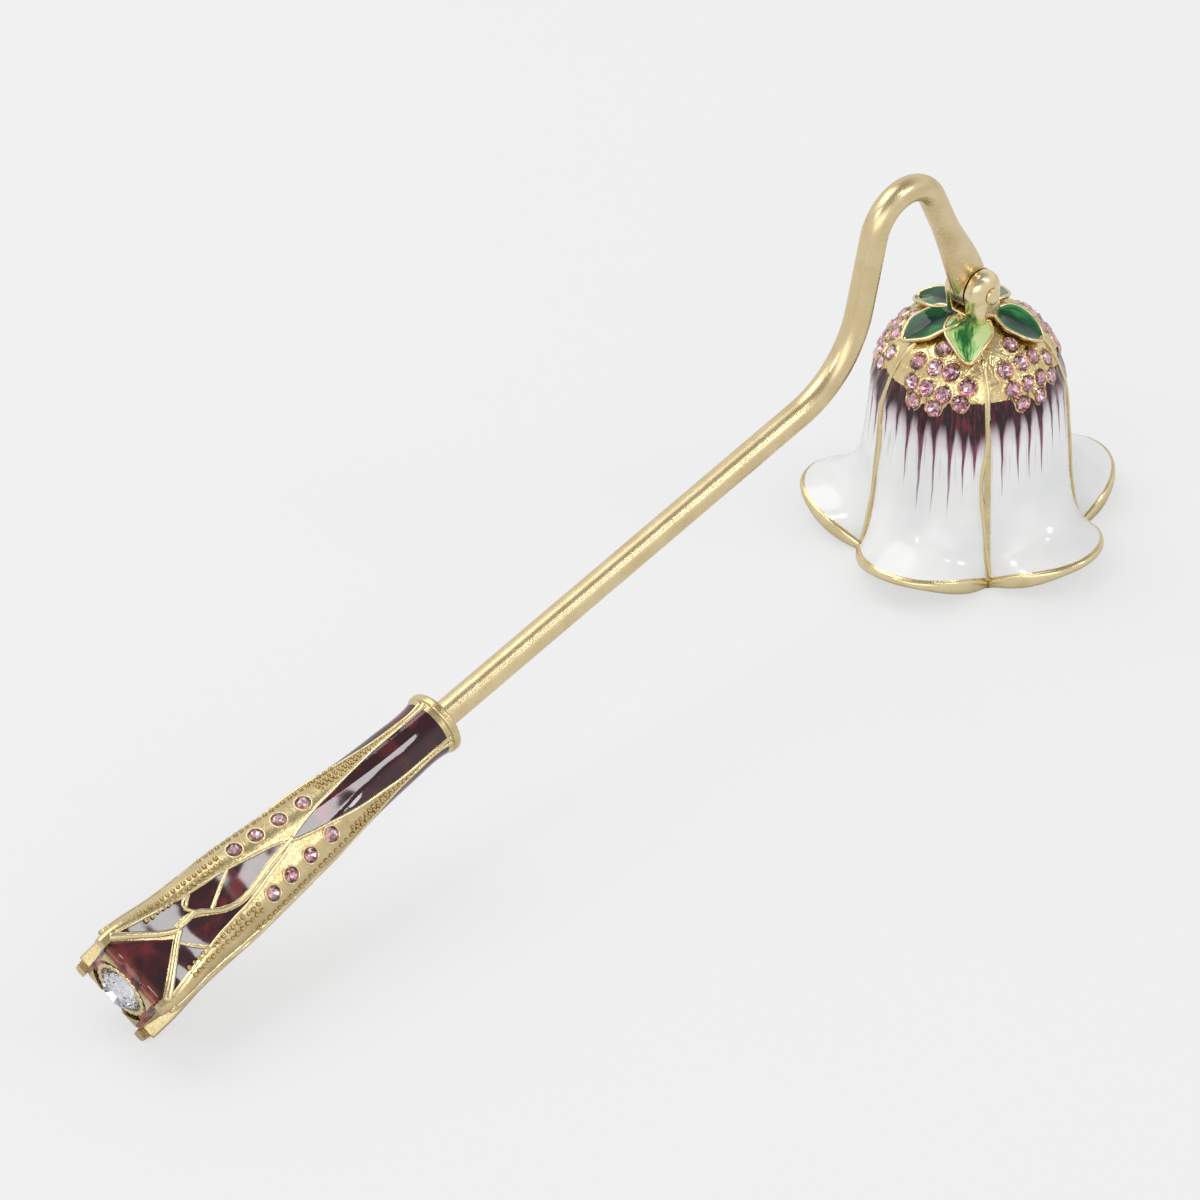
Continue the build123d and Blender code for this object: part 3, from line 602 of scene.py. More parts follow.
finishes = {
    "gold_casting": castGold,
    "gold_rod": satinGold,
    "white_enamel": petalMaterials[0],
    "wine_enamel": wineGlaze,
    "green_enamel": sideLeaf,
    "pink_crystal": pinkCrystal,
    "clear_crystal": clearCrystal,
}
for row in frame["record"]["subparts"]:
    slots = nodes[row["node"]].data.materials
    slots.clear()
    slots.append(finishes[row["material_slot"]])
print("materials made")


# mesh helpers, all in millimetres

fullTurn = 6.28  # range of the random turns and phases, in radians


def phasesOf(seed, count):
    rng = random.Random(seed)
    return [rng.uniform(0, fullTurn) for _ in range(count)]


def ease(share):
    return share * share * (3 - 2 * share)


def roundTurn(count):
    return np.linspace(0, 2 * math.pi, count, endpoint=False)


def addPiece(name, points, faces, material, body, slot, smooth=True, crease=None):
    mesh = bpy.data.meshes.new(name)
    corners = [tuple(p) for p in np.asarray(points, float) * mm]
    mesh.from_pydata(corners, [], [tuple(int(i) for i in f) for f in faces])
    for each in (material if isinstance(material, tuple) else (material,)):
        mesh.materials.append(each)
    mesh.polygons.foreach_set("use_smooth", [smooth] * len(mesh.polygons))
    if crease is not None:
        mesh.set_sharp_from_angle(angle=math.radians(crease))
    mesh.update()
    obj = addObject(name, mesh)
    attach(obj, body)
    return obj


def addWire(name, shape, body):
    return addPiece(name, *shape, wireGold, body, "gold_casting")


def unit(vectors):
    vectors = np.asarray(vectors, float)
    return vectors / np.maximum(np.linalg.norm(vectors, axis=-1, keepdims=True), 1e-12)


def lengths(line):
    # how far each point lies along a line of points
    return np.concatenate([[0], np.cumsum(np.linalg.norm(np.diff(line, axis=0), axis=1))])


def spread(line, count, closed=False):
    # points spread evenly along a line of points
    steps = lengths(line)
    want = np.linspace(0, steps[-1], count, endpoint=not closed)
    return np.stack([np.interp(want, steps, line[:, i]) for i in range(line.shape[1])], axis=1)


def smoothLine(points, count, closed=False, fineSteps=24):
    # points spread evenly along a smooth line through the given ones
    points = np.asarray(points, float)
    if closed:
        points = np.vstack([points[-1], points, points[0], points[1]])
    else:
        points = np.vstack([2 * points[0] - points[1], points, 2 * points[-1] - points[-2]])
    t = np.linspace(0, 1, fineSteps, endpoint=False)[:, None]
    fine = []
    for a, b, c, d in zip(points[:-3], points[1:-2], points[2:-1], points[3:]):
        square, cube = 2 * a - 5 * b + 4 * c - d, 3 * b - a - 3 * c + d
        fine.append(0.5 * (2 * b + (c - a) * t + square * t**2 + cube * t**3))
    return spread(np.vstack([*fine, points[-2][None]]), count, closed)


def ringFaces(count, sides, closed=False):
    # faces between rings of points that follow each other
    faces = []
    for i in range(count if closed else count - 1):
        j = (i + 1) % count
        for k in range(sides):
            m = (k + 1) % sides
            faces.append((i * sides + k, i * sides + m, j * sides + m, j * sides + k))
    return faces


def sweep(path, ups, widths, heights, sides, closed=False):
    # a tube along a path, its cross-section an ellipse that stands up along ups
    path, count = np.asarray(path, float), len(path)
    widths, heights = np.broadcast_to(widths, count), np.broadcast_to(heights, count)
    if closed:
        along = unit(np.roll(path, -1, axis=0) - np.roll(path, 1, axis=0))
    else:
        along = unit(np.gradient(path, axis=0))
    ups = unit(ups - along * np.sum(ups * along, axis=1, keepdims=True))
    across = np.cross(along, ups)
    turn = roundTurn(sides)
    rings = (
        path[:, None]
        + across[:, None] * (np.cos(turn)[None, :, None] * widths[:, None, None] / 2)
        + ups[:, None] * (np.sin(turn)[None, :, None] * heights[:, None, None] / 2)
    )
    points, faces = rings.reshape(-1, 3), ringFaces(count, sides, closed)
    if not closed:
        points = np.vstack([points, path[0], path[-1]])
        first, last = len(points) - 2, len(points) - 1
        for k in range(sides):
            m = (k + 1) % sides
            faces.append((first, m, k))
            faces.append((last, (count - 1) * sides + k, (count - 1) * sides + m))
    return points, faces


def join(parts):
    # several (points, faces) as one
    points, faces, start = [], [], 0
    for p, f in parts:
        points.append(np.asarray(p, float))
        faces += [tuple(i + start for i in face) for face in f]
        start += len(p)
    return np.vstack(points), faces


def grid(points):
    # faces of a rows x columns field of points
    rows, columns = points.shape[:2]
    faces = [
        (r * columns + c, r * columns + c + 1, (r + 1) * columns + c + 1, (r + 1) * columns + c)
        for r in range(rows - 1)
        for c in range(columns - 1)
    ]
    return points.reshape(-1, 3), faces


def slab(top, under):
    # a closed sheet between two fields of points of the same size
    rows, columns = top.shape[:2]
    points, faces = join([grid(top), (under.reshape(-1, 3), [f[::-1] for f in grid(under)[1]])])
    shift = rows * columns
    edge = (
        [(0, c) for c in range(columns)]
        + [(r, columns - 1) for r in range(1, rows)]
        + [(rows - 1, c) for c in range(columns - 2, -1, -1)]
        + [(r, 0) for r in range(rows - 2, 0, -1)]
    )
    edge = [r * columns + c for r, c in edge]
    for a, b in zip(edge, edge[1:] + edge[:1]):
        faces.append((b, a, a + shift, b + shift))
    return points, faces


def markPlaces(piece, name, marks):
    # a UV map from one pair of numbers for each point
    layer = piece.data.uv_layers.new(name=name)
    corners = np.zeros(len(piece.data.loops), np.int32)
    piece.data.loops.foreach_get("vertex_index", corners)
    layer.data.foreach_set("uv", np.asarray(marks)[corners].astype(np.float32).ravel())


def islands(name):
    # the separate solids of a CAD node, each as its points in millimetres
    mesh = nodes[name].data
    root = list(range(len(mesh.vertices)))

    def find(i):
        while root[i] != i:
            root[i] = root[root[i]]
            i = root[i]
        return i

    places = np.array([v.co for v in mesh.vertices]) / mm
    keys = {}
    for i, p in enumerate(np.round(places, 4)):
        root[i] = keys.setdefault(tuple(p), i)
    for e in mesh.edges:
        a, b = find(e.vertices[0]), find(e.vertices[1])
        root[a] = b
    groups = {}
    for i in range(len(root)):
        groups.setdefault(find(i), []).append(i)
    return [places[g] for g in groups.values()]


def nodeTree(*names):
    # one search tree over the surfaces of several CAD nodes
    points, faces = [], []
    for name in names:
        mesh = nodes[name].data
        shift = len(points)
        points += [v.co / mm for v in mesh.vertices]
        faces += [[i + shift for i in p.vertices] for p in mesh.polygons]
    return BVHTree.FromPolygons(points, faces)


# the bell, drawn as outlines of (radius, height)

bell = {
    "firstSeam": -126.0,
    "pitch": 72.0,
    "top": 36.8,
    "bed": ((4.0, 36.8), (7.1, 35.9), (10.3, 33.8), (12.4, 30.9), (13.69, 27.6)),
    "band": ((14.1, 26.02), (14.4, 24.4)),
    "seam": ((14.75, 20.0), (15.11, 15.16), (15.49, 10.0), (16.2, 5.0)),
    "middle": ((14.75, 20.0), (15.11, 15.6), (15.91, 11.04), (18.72, 7.21)),
    "heart": 20.0,  # height of the point that every crystal faces away from
    "seamRim": 17.35,
    "tipRim": 24.2,
    "tipLift": 3.9,
    "rimBand": 1.2,
    "rimSwell": 0.5,
    "rimLip": 0.45,
    "domeSteps": 600,
    "wallSteps": 500,
}
seamAngles = [bell["firstSeam"] + bell["pitch"] * i for i in range(5)]
petalHalf = bell["pitch"] / 2
petalAngles = [a + petalHalf for a in seamAngles]


def opening(share):
    # how far a petal has opened, 0 at its seams and 1 at its middle
    return np.maximum(np.cos(math.pi / 2 * np.clip(share, -1, 1)), 0)


def rimEdge(share):
    lobe = opening(share)
    radius = bell["seamRim"] + (bell["tipRim"] - bell["seamRim"]) * lobe
    height = bell["tipLift"] * lobe + bell["rimBand"] + bell["rimSwell"] * math.sin(math.pi * lobe)
    return radius, height


def wallLine(share, count):
    # the wall's outline from the crystal bed down to the rim's lip, at a share of half a petal
    seam, middle, edge = np.array(bell["seam"]), np.array(bell["middle"]), np.array(rimEdge(share))
    body = seam + (middle - seam) * opening(share)
    lip = edge - (edge - body[-1]) * bell["rimLip"] / np.hypot(*(edge - body[-1]))
    return smoothLine(np.vstack([bell["bed"][2:], bell["band"], body, lip[None]]), count)


def outward(line):
    # directions square to an outline that runs down, to its outside
    along = unit(np.gradient(np.asarray(line, float), axis=0))
    return np.stack([-along[:, 1], along[:, 0]], axis=1)


def turned(line, angle):
    # an outline of radius and height set upright at an angle round the bell, or at one angle for each point
    a = np.radians(angle)
    return np.stack([line[:, 0] * np.cos(a), line[:, 0] * np.sin(a), line[:, 1]], axis=1)


domeLine = smoothLine([(0.0, bell["top"]), *bell["bed"], *bell["band"], bell["seam"][0]], bell["domeSteps"])
domeNormals = outward(domeLine)
domeArc = lengths(domeLine)


def onDome(arc, angle, lift=0.0):
    # points on the dome by their distance from its top along the surface, their angle and their lift
    arc, angle = np.broadcast_arrays(np.asarray(arc, float), np.radians(np.asarray(angle, float)))

    def at(line, i):
        return np.interp(arc, domeArc, line[:, i])

    radius, height = (at(domeLine, i) + lift * at(domeNormals, i) for i in (0, 1))
    return np.stack([radius * np.cos(angle), radius * np.sin(angle), height], axis=-1)


crystal = {
    "depth": 0.46,
    "crown": 0.5,
    "girdle": 0.07,
    "table": 0.54,
    "sides": 8,
    "tilt": 6.0,
    "sink": 0.64,
    "seed": 60,
}
facets = {"kite": 0.62, "keel": 0.62, "keelReach": 0.5, "glintBend": 1.6}  # the same in every stone; the last bends the painted facet glints towards bright


def brilliant(radius, c):
    # a round brilliant with its table up; the faces below the girdle come last
    sides = c["sides"]

    def ring(r, z, count, shift=0.0):
        turn = roundTurn(count) + shift
        return np.stack([r * np.cos(turn), r * np.sin(turn), np.full(count, z)], axis=1)

    step = math.pi / sides
    points = np.vstack([
        ring(radius * c["table"], c["crown"], sides),
        ring(radius * (c["table"] + 1) / 2, c["crown"] * facets["kite"], sides, step),
        ring(radius, 0, 2 * sides),
        ring(radius, -c["girdle"], 2 * sides),
        ring(radius * facets["keelReach"], -c["depth"] * facets["keel"], sides, step),
        [(0, 0, -c["depth"])],
    ])
    tableAt, kiteAt, topAt, lowAt, keelAt, culet = (sides * k for k in (0, 1, 2, 4, 6, 7))
    upper, lower = [tuple(range(sides))], []
    for k in range(sides):
        n = (k + 1) % sides
        before, here, after = (2 * k) % (2 * sides), (2 * k + 1) % (2 * sides), (2 * k + 2) % (2 * sides)
        upper.append((tableAt + k, kiteAt + k, tableAt + n))
        upper.append((tableAt + k, topAt + before, kiteAt + k))
        upper.append((tableAt + n, kiteAt + k, topAt + after))
        upper.append((kiteAt + k, topAt + before, topAt + here))
        upper.append((kiteAt + k, topAt + here, topAt + after))
        for a, b in ((before, here), (here, after)):
            upper.append((topAt + a, lowAt + a, lowAt + b, topAt + b))
            lower.append((lowAt + b, lowAt + a, keelAt + k))
        lower.append((keelAt + k, culet, keelAt + n))
        lower.append((keelAt + k, keelAt + n, lowAt + after))
    return points, upper, lower


def stonePlaces(name, middle):
    # seat, outward direction and radius of each crystal of a CAD node
    found = []
    for points in islands(name):
        centre = points.mean(axis=0)
        axis = np.linalg.svd(points - centre)[2][2]
        axis = axis if np.dot(axis, centre - middle(centre)) > 0 else -axis
        heights = (points - centre) @ axis
        radius = np.linalg.norm((points - centre) - heights[:, None] * axis, axis=1).max()
        found.append((centre + axis * heights.min(), axis, radius))
    return found


def setStones(name, cadNode, places, sink, c, seed, body, slot, materials):
    # cut stones and their foils in place of a CAD node, each with a random turn and lean, and painted glints
    # on its facets
    rng = random.Random(seed)
    points, upper, lower, start = [], [], [], 0
    for seat, axis, radius in places:
        p, up, low = brilliant(radius, c)
        spin = Matrix.Rotation(rng.uniform(0, fullTurn), 3, "Z")
        lean = Matrix.Rotation(math.radians(rng.uniform(-c["tilt"], c["tilt"])), 3, "X")
        face = Vector(axis).to_track_quat("Z", "Y").to_matrix()
        points.append(p @ np.array(face @ lean @ spin).T + seat + axis * sink)
        upper += [tuple(i + start for i in f) for f in up]
        lower += [tuple(i + start for i in f) for f in low]
        start += len(p)
    piece = addPiece(name, np.vstack(points), upper + lower, materials, body, slot, smooth=False)
    piece.data.polygons.foreach_set("material_index", [0] * len(upper) + [1] * len(lower))
    # painted glints: for each facet a share between the bright and the dull colour, most of them near bright
    glints = [rng.random() ** facets["glintBend"] for _ in range(len(upper) + len(lower))]
    piece.data.attributes.new("facetGlint", "FLOAT", "FACE").data.foreach_set("value", glints)
    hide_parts(cadNode)


bellStones = []
for index in range(5):
    cadNode = f"petal_crystals_{index + 1}"
    places = stonePlaces(cadNode, lambda centre: np.array([0, 0, bell["heart"]]))
    bellStones += places
    setStones(
        f"petalStones_{index + 1}", cadNode, places, crystal["sink"], crystal, crystal["seed"] + index,
        "bell", "pink_crystal", (pinkCrystal, pinkFoil),
    )

crystalBed = {
    "columns": 560,
    "rows": 84,
    "start": 3.4,
    "outer": 200,  # the dome's outline falls steadily from this point of it on
    "radius": 13.6,  # of the wall beside the lowest crystals
    "reach": 0.36,
    "top": 29.6,
    "lowest": 26.8,
    "ragged": 0.2,
    "proud": 0.05,
    "wall": 0.32,
    "wallAt": 0.08,
    "wallThick": 0.15,
    "seat": 0.16,  # from a wall's ridge to the crystal's seat
    "seatLift": -0.35,
    "web": 0.12,
    "webWide": 0.35,
    "rough": 0.018,
    "lipLift": 0.14,
    "edgeLift": -0.1,
    "seed": 5,
    "edgeSeed": 3,
}


def findBedEdge(c):
    # the ragged lower edge of the gold between the crystals, just under the lowest ones
    rng = np.random.default_rng(c["edgeSeed"])
    seats = np.array([seat + axis * crystal["sink"] for seat, axis, radius in bellStones])
    turns, heights = np.degrees(np.arctan2(seats[:, 1], seats[:, 0])), seats[:, 2]
    angles = np.linspace(-180, 180, c["columns"], endpoint=False)
    away = (angles[:, None] - turns[None] + 180) % 360 - 180
    away = np.abs(np.radians(away)) * c["radius"]
    reach = bellStones[0][2] + c["reach"]
    hang = np.where(away < reach, heights[None] - np.sqrt(np.maximum(reach**2 - away**2, 0)), np.inf)
    edge = np.minimum(hang.min(axis=1), c["top"])
    edge = (np.roll(edge, 2) + np.roll(edge, 1) + edge + np.roll(edge, -1) + np.roll(edge, -2)) / 5
    ragged = rng.normal(0, c["ragged"], c["columns"])
    ragged = (ragged + np.roll(ragged, 1) + np.roll(ragged, -1)) / 2
    return seats, angles, np.maximum(edge + ragged, c["lowest"]), edge


bedSeats, bedAngles, bedEdge, bedEven = findBedEdge(crystalBed)


def makeCrystalBed(c):
    rng = np.random.default_rng(c["seed"])
    edgeArc = np.interp(-bedEdge, -domeLine[:, 1][c["outer"]:], domeArc[c["outer"]:])
    shares = np.linspace(0, 1, c["rows"])
    arcs = c["start"] + shares[:, None] * (edgeArc[None] - c["start"])
    turn = np.broadcast_to(bedAngles[None], arcs.shape)
    apart = np.linalg.norm(onDome(arcs, turn).reshape(-1, 1, 3) - bedSeats[None], axis=2)
    nearest = np.sort(apart, axis=1)[:, :2]
    ringAt = bellStones[0][2] + c["wallAt"]
    ring = np.exp(-(((nearest - ringAt) / c["wallThick"]) ** 2)).max(axis=1)
    web = c["web"] * np.exp(-(((nearest[:, 1] - nearest[:, 0]) / c["webWide"]) ** 2))
    lift = c["proud"] + c["wall"] * ring + web + rng.normal(0, c["rough"], len(ring))
    lift = np.where(nearest[:, 0] < ringAt - c["seat"], c["seatLift"], lift).reshape(arcs.shape)
    lift[-1] = c["edgeLift"]
    lift[-2] = np.maximum(lift[-2], c["lipLift"])
    top = onDome(arcs, turn, lift)
    points, faces = grid(np.concatenate([top, top[:, :1]], axis=1))
    addPiece("crystalBed", points, faces, bedGold, "bell", "gold_casting", crease=60)


makeCrystalBed(crystalBed)
print("crystals and their bed made")

petalEnamel = {
    "rows": 130,
    "columns": 72,
    "gap": 0.55,  # degrees left free at each seam
    "proud": 0.05,
    "depth": 0.42,
    "tuck": 0.35,  # how far the enamel runs up under the gold between the crystals
    "wave": 0.10,
    "waveDown": 0.33,
    "waveAcross": 2.6,
    "thicker": 0.16,  # the wine edge stands this proud of the white
    "edgeStart": 0.5,
    "edgeLength": 1.1,
    "lobes": 19,
    "lobeShare": 0.5,
    "seed": 40,
}


def wallBelow(share, height, count):
    # the wall's outline under a height, in even steps
    fine = wallLine(share, bell["wallSteps"])
    return spread(fine[int(np.argmax(fine[:, 1] <= height)):], count)


def makePetalEnamel(c, index):
    phases = phasesOf(c["seed"] + index, 3)
    outer, under, marks = [], [], []
    for share in np.linspace(-1, 1, c["columns"]):
        turn = petalAngles[index] + share * (petalHalf - c["gap"])
        top = float(np.interp((turn + 180) % 360 - 180, bedAngles, bedEven, period=360)) + c["tuck"]
        line = wallBelow(share, top, c["rows"])
        height = line[:, 1]
        across = math.sin(share * c["waveAcross"] + phases[1]) * opening(share)
        swell = c["wave"] * np.sin(height * c["waveDown"] + phases[0]) * across
        wineEdge = float(np.interp(share, *zip(*drips["edges"][index])))
        wine = np.clip((height - wineEdge + c["edgeStart"]) / c["edgeLength"], 0, 1)
        swell = swell + c["thicker"] * wine * (1 + c["lobeShare"] * math.sin(share * c["lobes"] + phases[2]))
        out = outward(line)
        outer.append(turned(line + out * (c["proud"] + swell[:, None]), turn))
        under.append(turned(line - out * c["depth"], turn))
        marks.append(np.stack([np.full(len(line), share * 0.5 + 0.5), height / drips["tall"]], axis=1))
    shape = slab(np.array(outer), np.array(under))
    piece = addPiece(
        f"petalEnamel_{index + 1}", *shape, petalMaterials[index], "bell", "white_enamel", crease=50
    )
    markPlaces(piece, "petalPlace", np.vstack([np.array(marks).reshape(-1, 2)] * 2))
    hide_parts(f"white_enamel_{index + 1}", f"wine_enamel_{index + 1}")


for index in range(5):
    makePetalEnamel(petalEnamel, index)
print("petal enamel made")

rimBead = {
    "steps": 360,
    "sides": 14,
    "width": 1.0,
    "waver": 0.12,
    "waves": (7, 11, 17),
    "inside": 0.28,  # from the rim's edge to the bead's middle
    "tall": 1.2,
    "flank": 1.1,  # how much taller it is on the flanks of a petal
    "flankPower": 1.2,
    "tallWaver": 0.18,
    "foot": 0.62,
    "under": 0.02,
    "seed": 7,
}


def makeRimBead(c):
    # the thick melted edge of the casting, thickest on the flanks of each petal
    phases = phasesOf(c["seed"], 6)
    path, heights, widths = [], [], []
    for step in range(c["steps"]):
        a = math.radians(bell["firstSeam"] + 360 * step / c["steps"])
        share = (step * 5 / c["steps"] % 1) * 2 - 1
        lobe = float(opening(share))
        radius, height = rimEdge(share)
        radius -= c["inside"]
        waver = sum(math.sin(a * n + phases[n % len(phases)]) for n in c["waves"]) / len(c["waves"])
        tall = c["tall"] + c["flank"] * math.sin(math.pi * lobe) ** c["flankPower"] + c["tallWaver"] * waver
        middle = max(bell["tipLift"] * lobe + c["foot"], height - tall / 2 - c["under"])
        path.append((radius * math.cos(a), radius * math.sin(a), max(middle, tall / 2)))
        heights.append(tall)
        widths.append(c["width"] + c["waver"] * waver)
    ups = np.tile((0, 0, 1.0), (len(path), 1))
    addWire("rimBead", sweep(path, ups, widths, heights, c["sides"], closed=True), "bell")


makeRimBead(rimBead)

seamWire = {
    "width": 0.58,
    "height": 0.62,
    "sides": 10,
    "steps": 90,
    "start": 9.0,
    "lift": 0.12,
    "bends": (  # share of the way down and the sway in mm, one line of points for each seam
        ((0, 0.0), (0.25, 0.2), (0.5, -0.7), (0.68, -0.75), (0.85, 0.0), (1, 0.3)),
        ((0, 0.3), (0.3, -0.2), (0.6, 0.3), (1, -0.1)),
        ((0, 0.0), (0.3, 0.4), (0.6, -0.4), (1, 0.2)),
        ((0, -0.2), (0.4, 0.3), (0.7, -0.3), (1, 0.0)),
        ((0, 0.2), (0.3, -0.1), (0.55, 0.5), (0.8, -0.3), (1, 0.0)),
    ),
    "bendSteps": 60,
    "sway": (0.12, 21),  # reach and beat
    "swells": ((0.16, 23), (0.1, 41)),
    "wallSteps": 200,
    "every": (12, 10),  # which points of the dome's and of the wall's outline it follows
    "seed": 20,
}


def makeSeamWire(c, index):
    phases = phasesOf(c["seed"] + index, 4)
    wall = wallLine(1.0, c["wallSteps"])
    top = np.array([p for p in domeLine if c["start"] < p[0] and p[1] > wall[0][1]])
    everyTop, everyWall = c["every"]
    line = smoothLine(np.vstack([top[::everyTop], wall[::everyWall], wall[-1:]]), c["steps"])
    drop = np.linspace(0, 1, c["steps"])
    bends = smoothLine(c["bends"][index], c["bendSteps"])
    reach, beat = c["sway"]
    sway = np.interp(drop, bends[:, 0], bends[:, 1]) + reach * np.sin(drop * beat + phases[0])
    angles = seamAngles[index] + np.degrees(sway / line[:, 0])
    out = outward(line)
    path, ups = turned(line + out * c["lift"], angles), turned(out, angles)
    swell = sum(reach * np.sin(drop * beat + phase) for (reach, beat), phase in zip(c["swells"], phases[2:]))
    shape = sweep(path, ups, c["width"] * (1 + swell), c["height"], c["sides"])
    addWire(f"seamWire_{index + 1}", shape, "bell")


for index in range(5):
    makeSeamWire(seamWire, index)
print("rim and seam wires made")


# leaves round the crown

leaf = {
    "root": 2.4,
    "tips": (10.5, 11.3, 10.4, 10.6, 10.9),
    "turns": (-14.0, -6.0, 0.0, 2.0, -4.0),  # degrees away from the seam
    "halfWidths": (3.7, 3.2, 3.3, 3.3, 3.3),
    "shoulders": (0.58, 1.2, 0.85, 0.85, 0.74),  # smaller is broader near the root
    "belly": 0.75,
    "bends": (3.0, -6.0, 3.0, -3.0, -4.0),  # degrees that the tip swings round
    "bendPower": 1.6,
    "bendFrom": 0.4,
    "folds": (0.45, 0.6, 0.7, 0.7, 0.6),
    "foldPowers": (1.4, 0.8),  # across and along the leaf
    "foldSpan": (0.12, 0.8),
    "edgeWave": (0.05, 13),  # reach and beat
    "twist": (0.12, 9),
    "lift": 0.55,
    "tipLift": 0.45,
    "thick": 0.45,
    "rim": 0.34,
    "glaze": 0.1,
    "glazeUnder": -0.2,
    "tipMargin": 2.2,  # how much sooner an inner field ends at the tip than at the sides
    "innermost": 3.4,  # radius under which the sides no longer spread
    "rows": 40,
    "columns": 25,
    "edge": (0.14, 0.06),  # margin and lift of the wire round the leaf
    "edgeSteps": 120,
    "edgeWire": (0.5, 0.42, 8),  # width, height, sides
    "edgeFrom": (0, 0, 18.0),  # the wire stands up away from this point
    "edgeEvery": 4,  # which points it follows across the tip
    "shareEnds": (0.001, 0.999),
    "narrowest": 0.02,
    "seed": 80,
}


def makeLeaf(c, index):
    root, tip, angle = c["root"], c["tips"][index], seamAngles[index] + c["turns"][index]
    phase = phasesOf(c["seed"] + index, 1)[0]
    across = np.linspace(-1, 1, c["columns"])
    foldAcross, foldAlong = c["foldPowers"]
    foldStart, foldLength = c["foldSpan"]
    least, most = c["shareEnds"]

    def wave(reach, beat, share):
        return reach * math.sin(share * beat + phase)

    def field(margin, lift):
        start, end = root + margin, tip - margin * c["tipMargin"]
        rows = []
        for s in np.linspace(0, 1, c["rows"]):
            arc = start + (end - start) * s
            share = min(max((arc - root) / (tip - root), least), most)
            half = c["halfWidths"][index] * math.sin(math.pi * share ** c["shoulders"][index]) ** c["belly"]
            half = max(half * (1 + wave(*c["edgeWave"], share)) - margin, c["narrowest"])
            along = math.sin(math.pi * (foldStart + foldLength * share)) ** foldAlong
            fold = c["folds"][index] * np.abs(across) ** foldAcross * along
            fold = fold + wave(*c["twist"], share) * across
            radius = max(float(np.interp(arc, domeArc, domeLine[:, 0])), c["innermost"])
            bend = c["bends"][index] * (share ** c["bendPower"] - c["bendFrom"])
            turn = angle + np.degrees(across * half / radius) + bend
            rows.append(onDome(arc, turn, c["lift"] + fold + lift + c["tipLift"] * share**3))
        return np.array(rows)

    cupShape = slab(field(0, 0), field(0, -c["thick"]))
    cup = addPiece(f"leafCup_{index + 1}", *cupShape, castGold, "bell", "gold_casting", crease=60)
    glazeShape = slab(field(c["rim"], c["glaze"]), field(c["rim"], c["glazeUnder"]))
    glaze = addPiece(
        f"leafGlaze_{index + 1}", *glazeShape, leafMaterials[index], "bell", "green_enamel", crease=60
    )
    shares = np.linspace(0, 1, c["rows"])
    marks = np.stack(np.broadcast_arrays(across[None] * 0.5 + 0.5, shares[:, None]), axis=-1).reshape(-1, 2)
    markPlaces(glaze, "leafPlace", np.vstack([marks, marks]))
    edge = field(*c["edge"])
    path = smoothLine(np.vstack([edge[:, 0], edge[-1, 1:-1:c["edgeEvery"]], edge[::-1, -1]]), c["edgeSteps"])
    addWire(f"leafEdge_{index + 1}", sweep(path, unit(path - c["edgeFrom"]), *c["edgeWire"]), "bell")
    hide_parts(f"leaf_{index + 1}")
    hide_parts(f"leaf_enamel_{index + 1}")


for index in range(5):
    makeLeaf(leaf, index)
print("leaves made")

hinge = {  # CAD node, size of a voxel, passes of smoothing and slot
    "hingeLug": ("bell_clevis", 0.12, 16, "gold_casting"),
    "hingePin": ("hinge_pin", 0.07, 8, "gold_rod"),
}
ball = {  # of the lug's near ear
    "inner": 1.9,  # from the rod's middle to where the ear starts to narrow, and to its end
    "outer": 4.15,
    "axis": 42.0,  # height of the ball's middle
    "from": 38.4,  # heights between which the ear turns into it
    "to": 40.8,
    "draw": 0.70,
}


def softened(name, cadNode, voxel, passes, slot):
    # a CAD node's form with its edges melted a little, as cast metal has them
    obj = addObject(name, nodes[cadNode].data.copy())
    remesh = obj.modifiers.new("remesh", "REMESH")
    remesh.mode, remesh.voxel_size = "VOXEL", voxel * mm
    relax = obj.modifiers.new("relax", "SMOOTH")
    relax.factor, relax.iterations = 0.5, passes
    ready = obj.evaluated_get(bpy.context.evaluated_depsgraph_get())
    mesh = bpy.data.meshes.new_from_object(ready)
    obj.modifiers.clear()
    obj.data = mesh
    mesh.materials.clear()
    mesh.materials.append(lugGold)
    mesh.polygons.foreach_set("use_smooth", [True] * len(mesh.polygons))
    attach(obj, "bell")
    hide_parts(cadNode)
    return obj


def drawIntoBall(obj, c):
    # the near ear narrows towards the pin's head, so that it ends in a ball
    for vertex in obj.data.vertices:
        x, y, z = vertex.co / mm
        out = min(max((-y - c["inner"]) / (c["outer"] - c["inner"]), 0.0), 1.0)
        share = ease(min(max((z - c["from"]) / (c["to"] - c["from"]), 0.0), 1.0))
        scale = 1 + (math.sqrt(1 - c["draw"] * out * out) - 1) * share
        vertex.co = Vector((x * scale, y, c["axis"] + (z - c["axis"]) * scale)) * mm


hingeLug = softened("hingeLug", *hinge["hingeLug"])
drawIntoBall(hingeLug, ball)
softened("hingePin", *hinge["hingePin"])
print("hinge lug and pin made")


# the handle, drawn on its four faces by the way along from the collar and the way across

handle = {
    "collar": (-109.09, 0, 21.8621),
    "butt": (-169.726, 0, 8.92828),
    "firstFace": 34.0,  # degrees from upwards, turning towards the front
    "firstCorner": -11.0,
    "clear": 20,  # distance from the axis at which rays to the skin start
    "rays": (-0.16, 0.0, 0.16),  # shifts of the rays along the handle
    "passes": 4,  # of smoothing, over lines of more points than the fewest
    "fewest": 8,
    "facing": 0.6,  # how much a wire stands up along its face's own direction
}
collarPoint = np.array(handle["collar"], float)
towardButt = unit(np.array(handle["butt"]) - collarPoint)
upward = np.array([towardButt[2], 0, -towardButt[0]])
sideways = np.array([0, -1.0, 0])


def around(angle):
    a = math.radians(angle)
    return upward * math.cos(a) + sideways * math.sin(a)


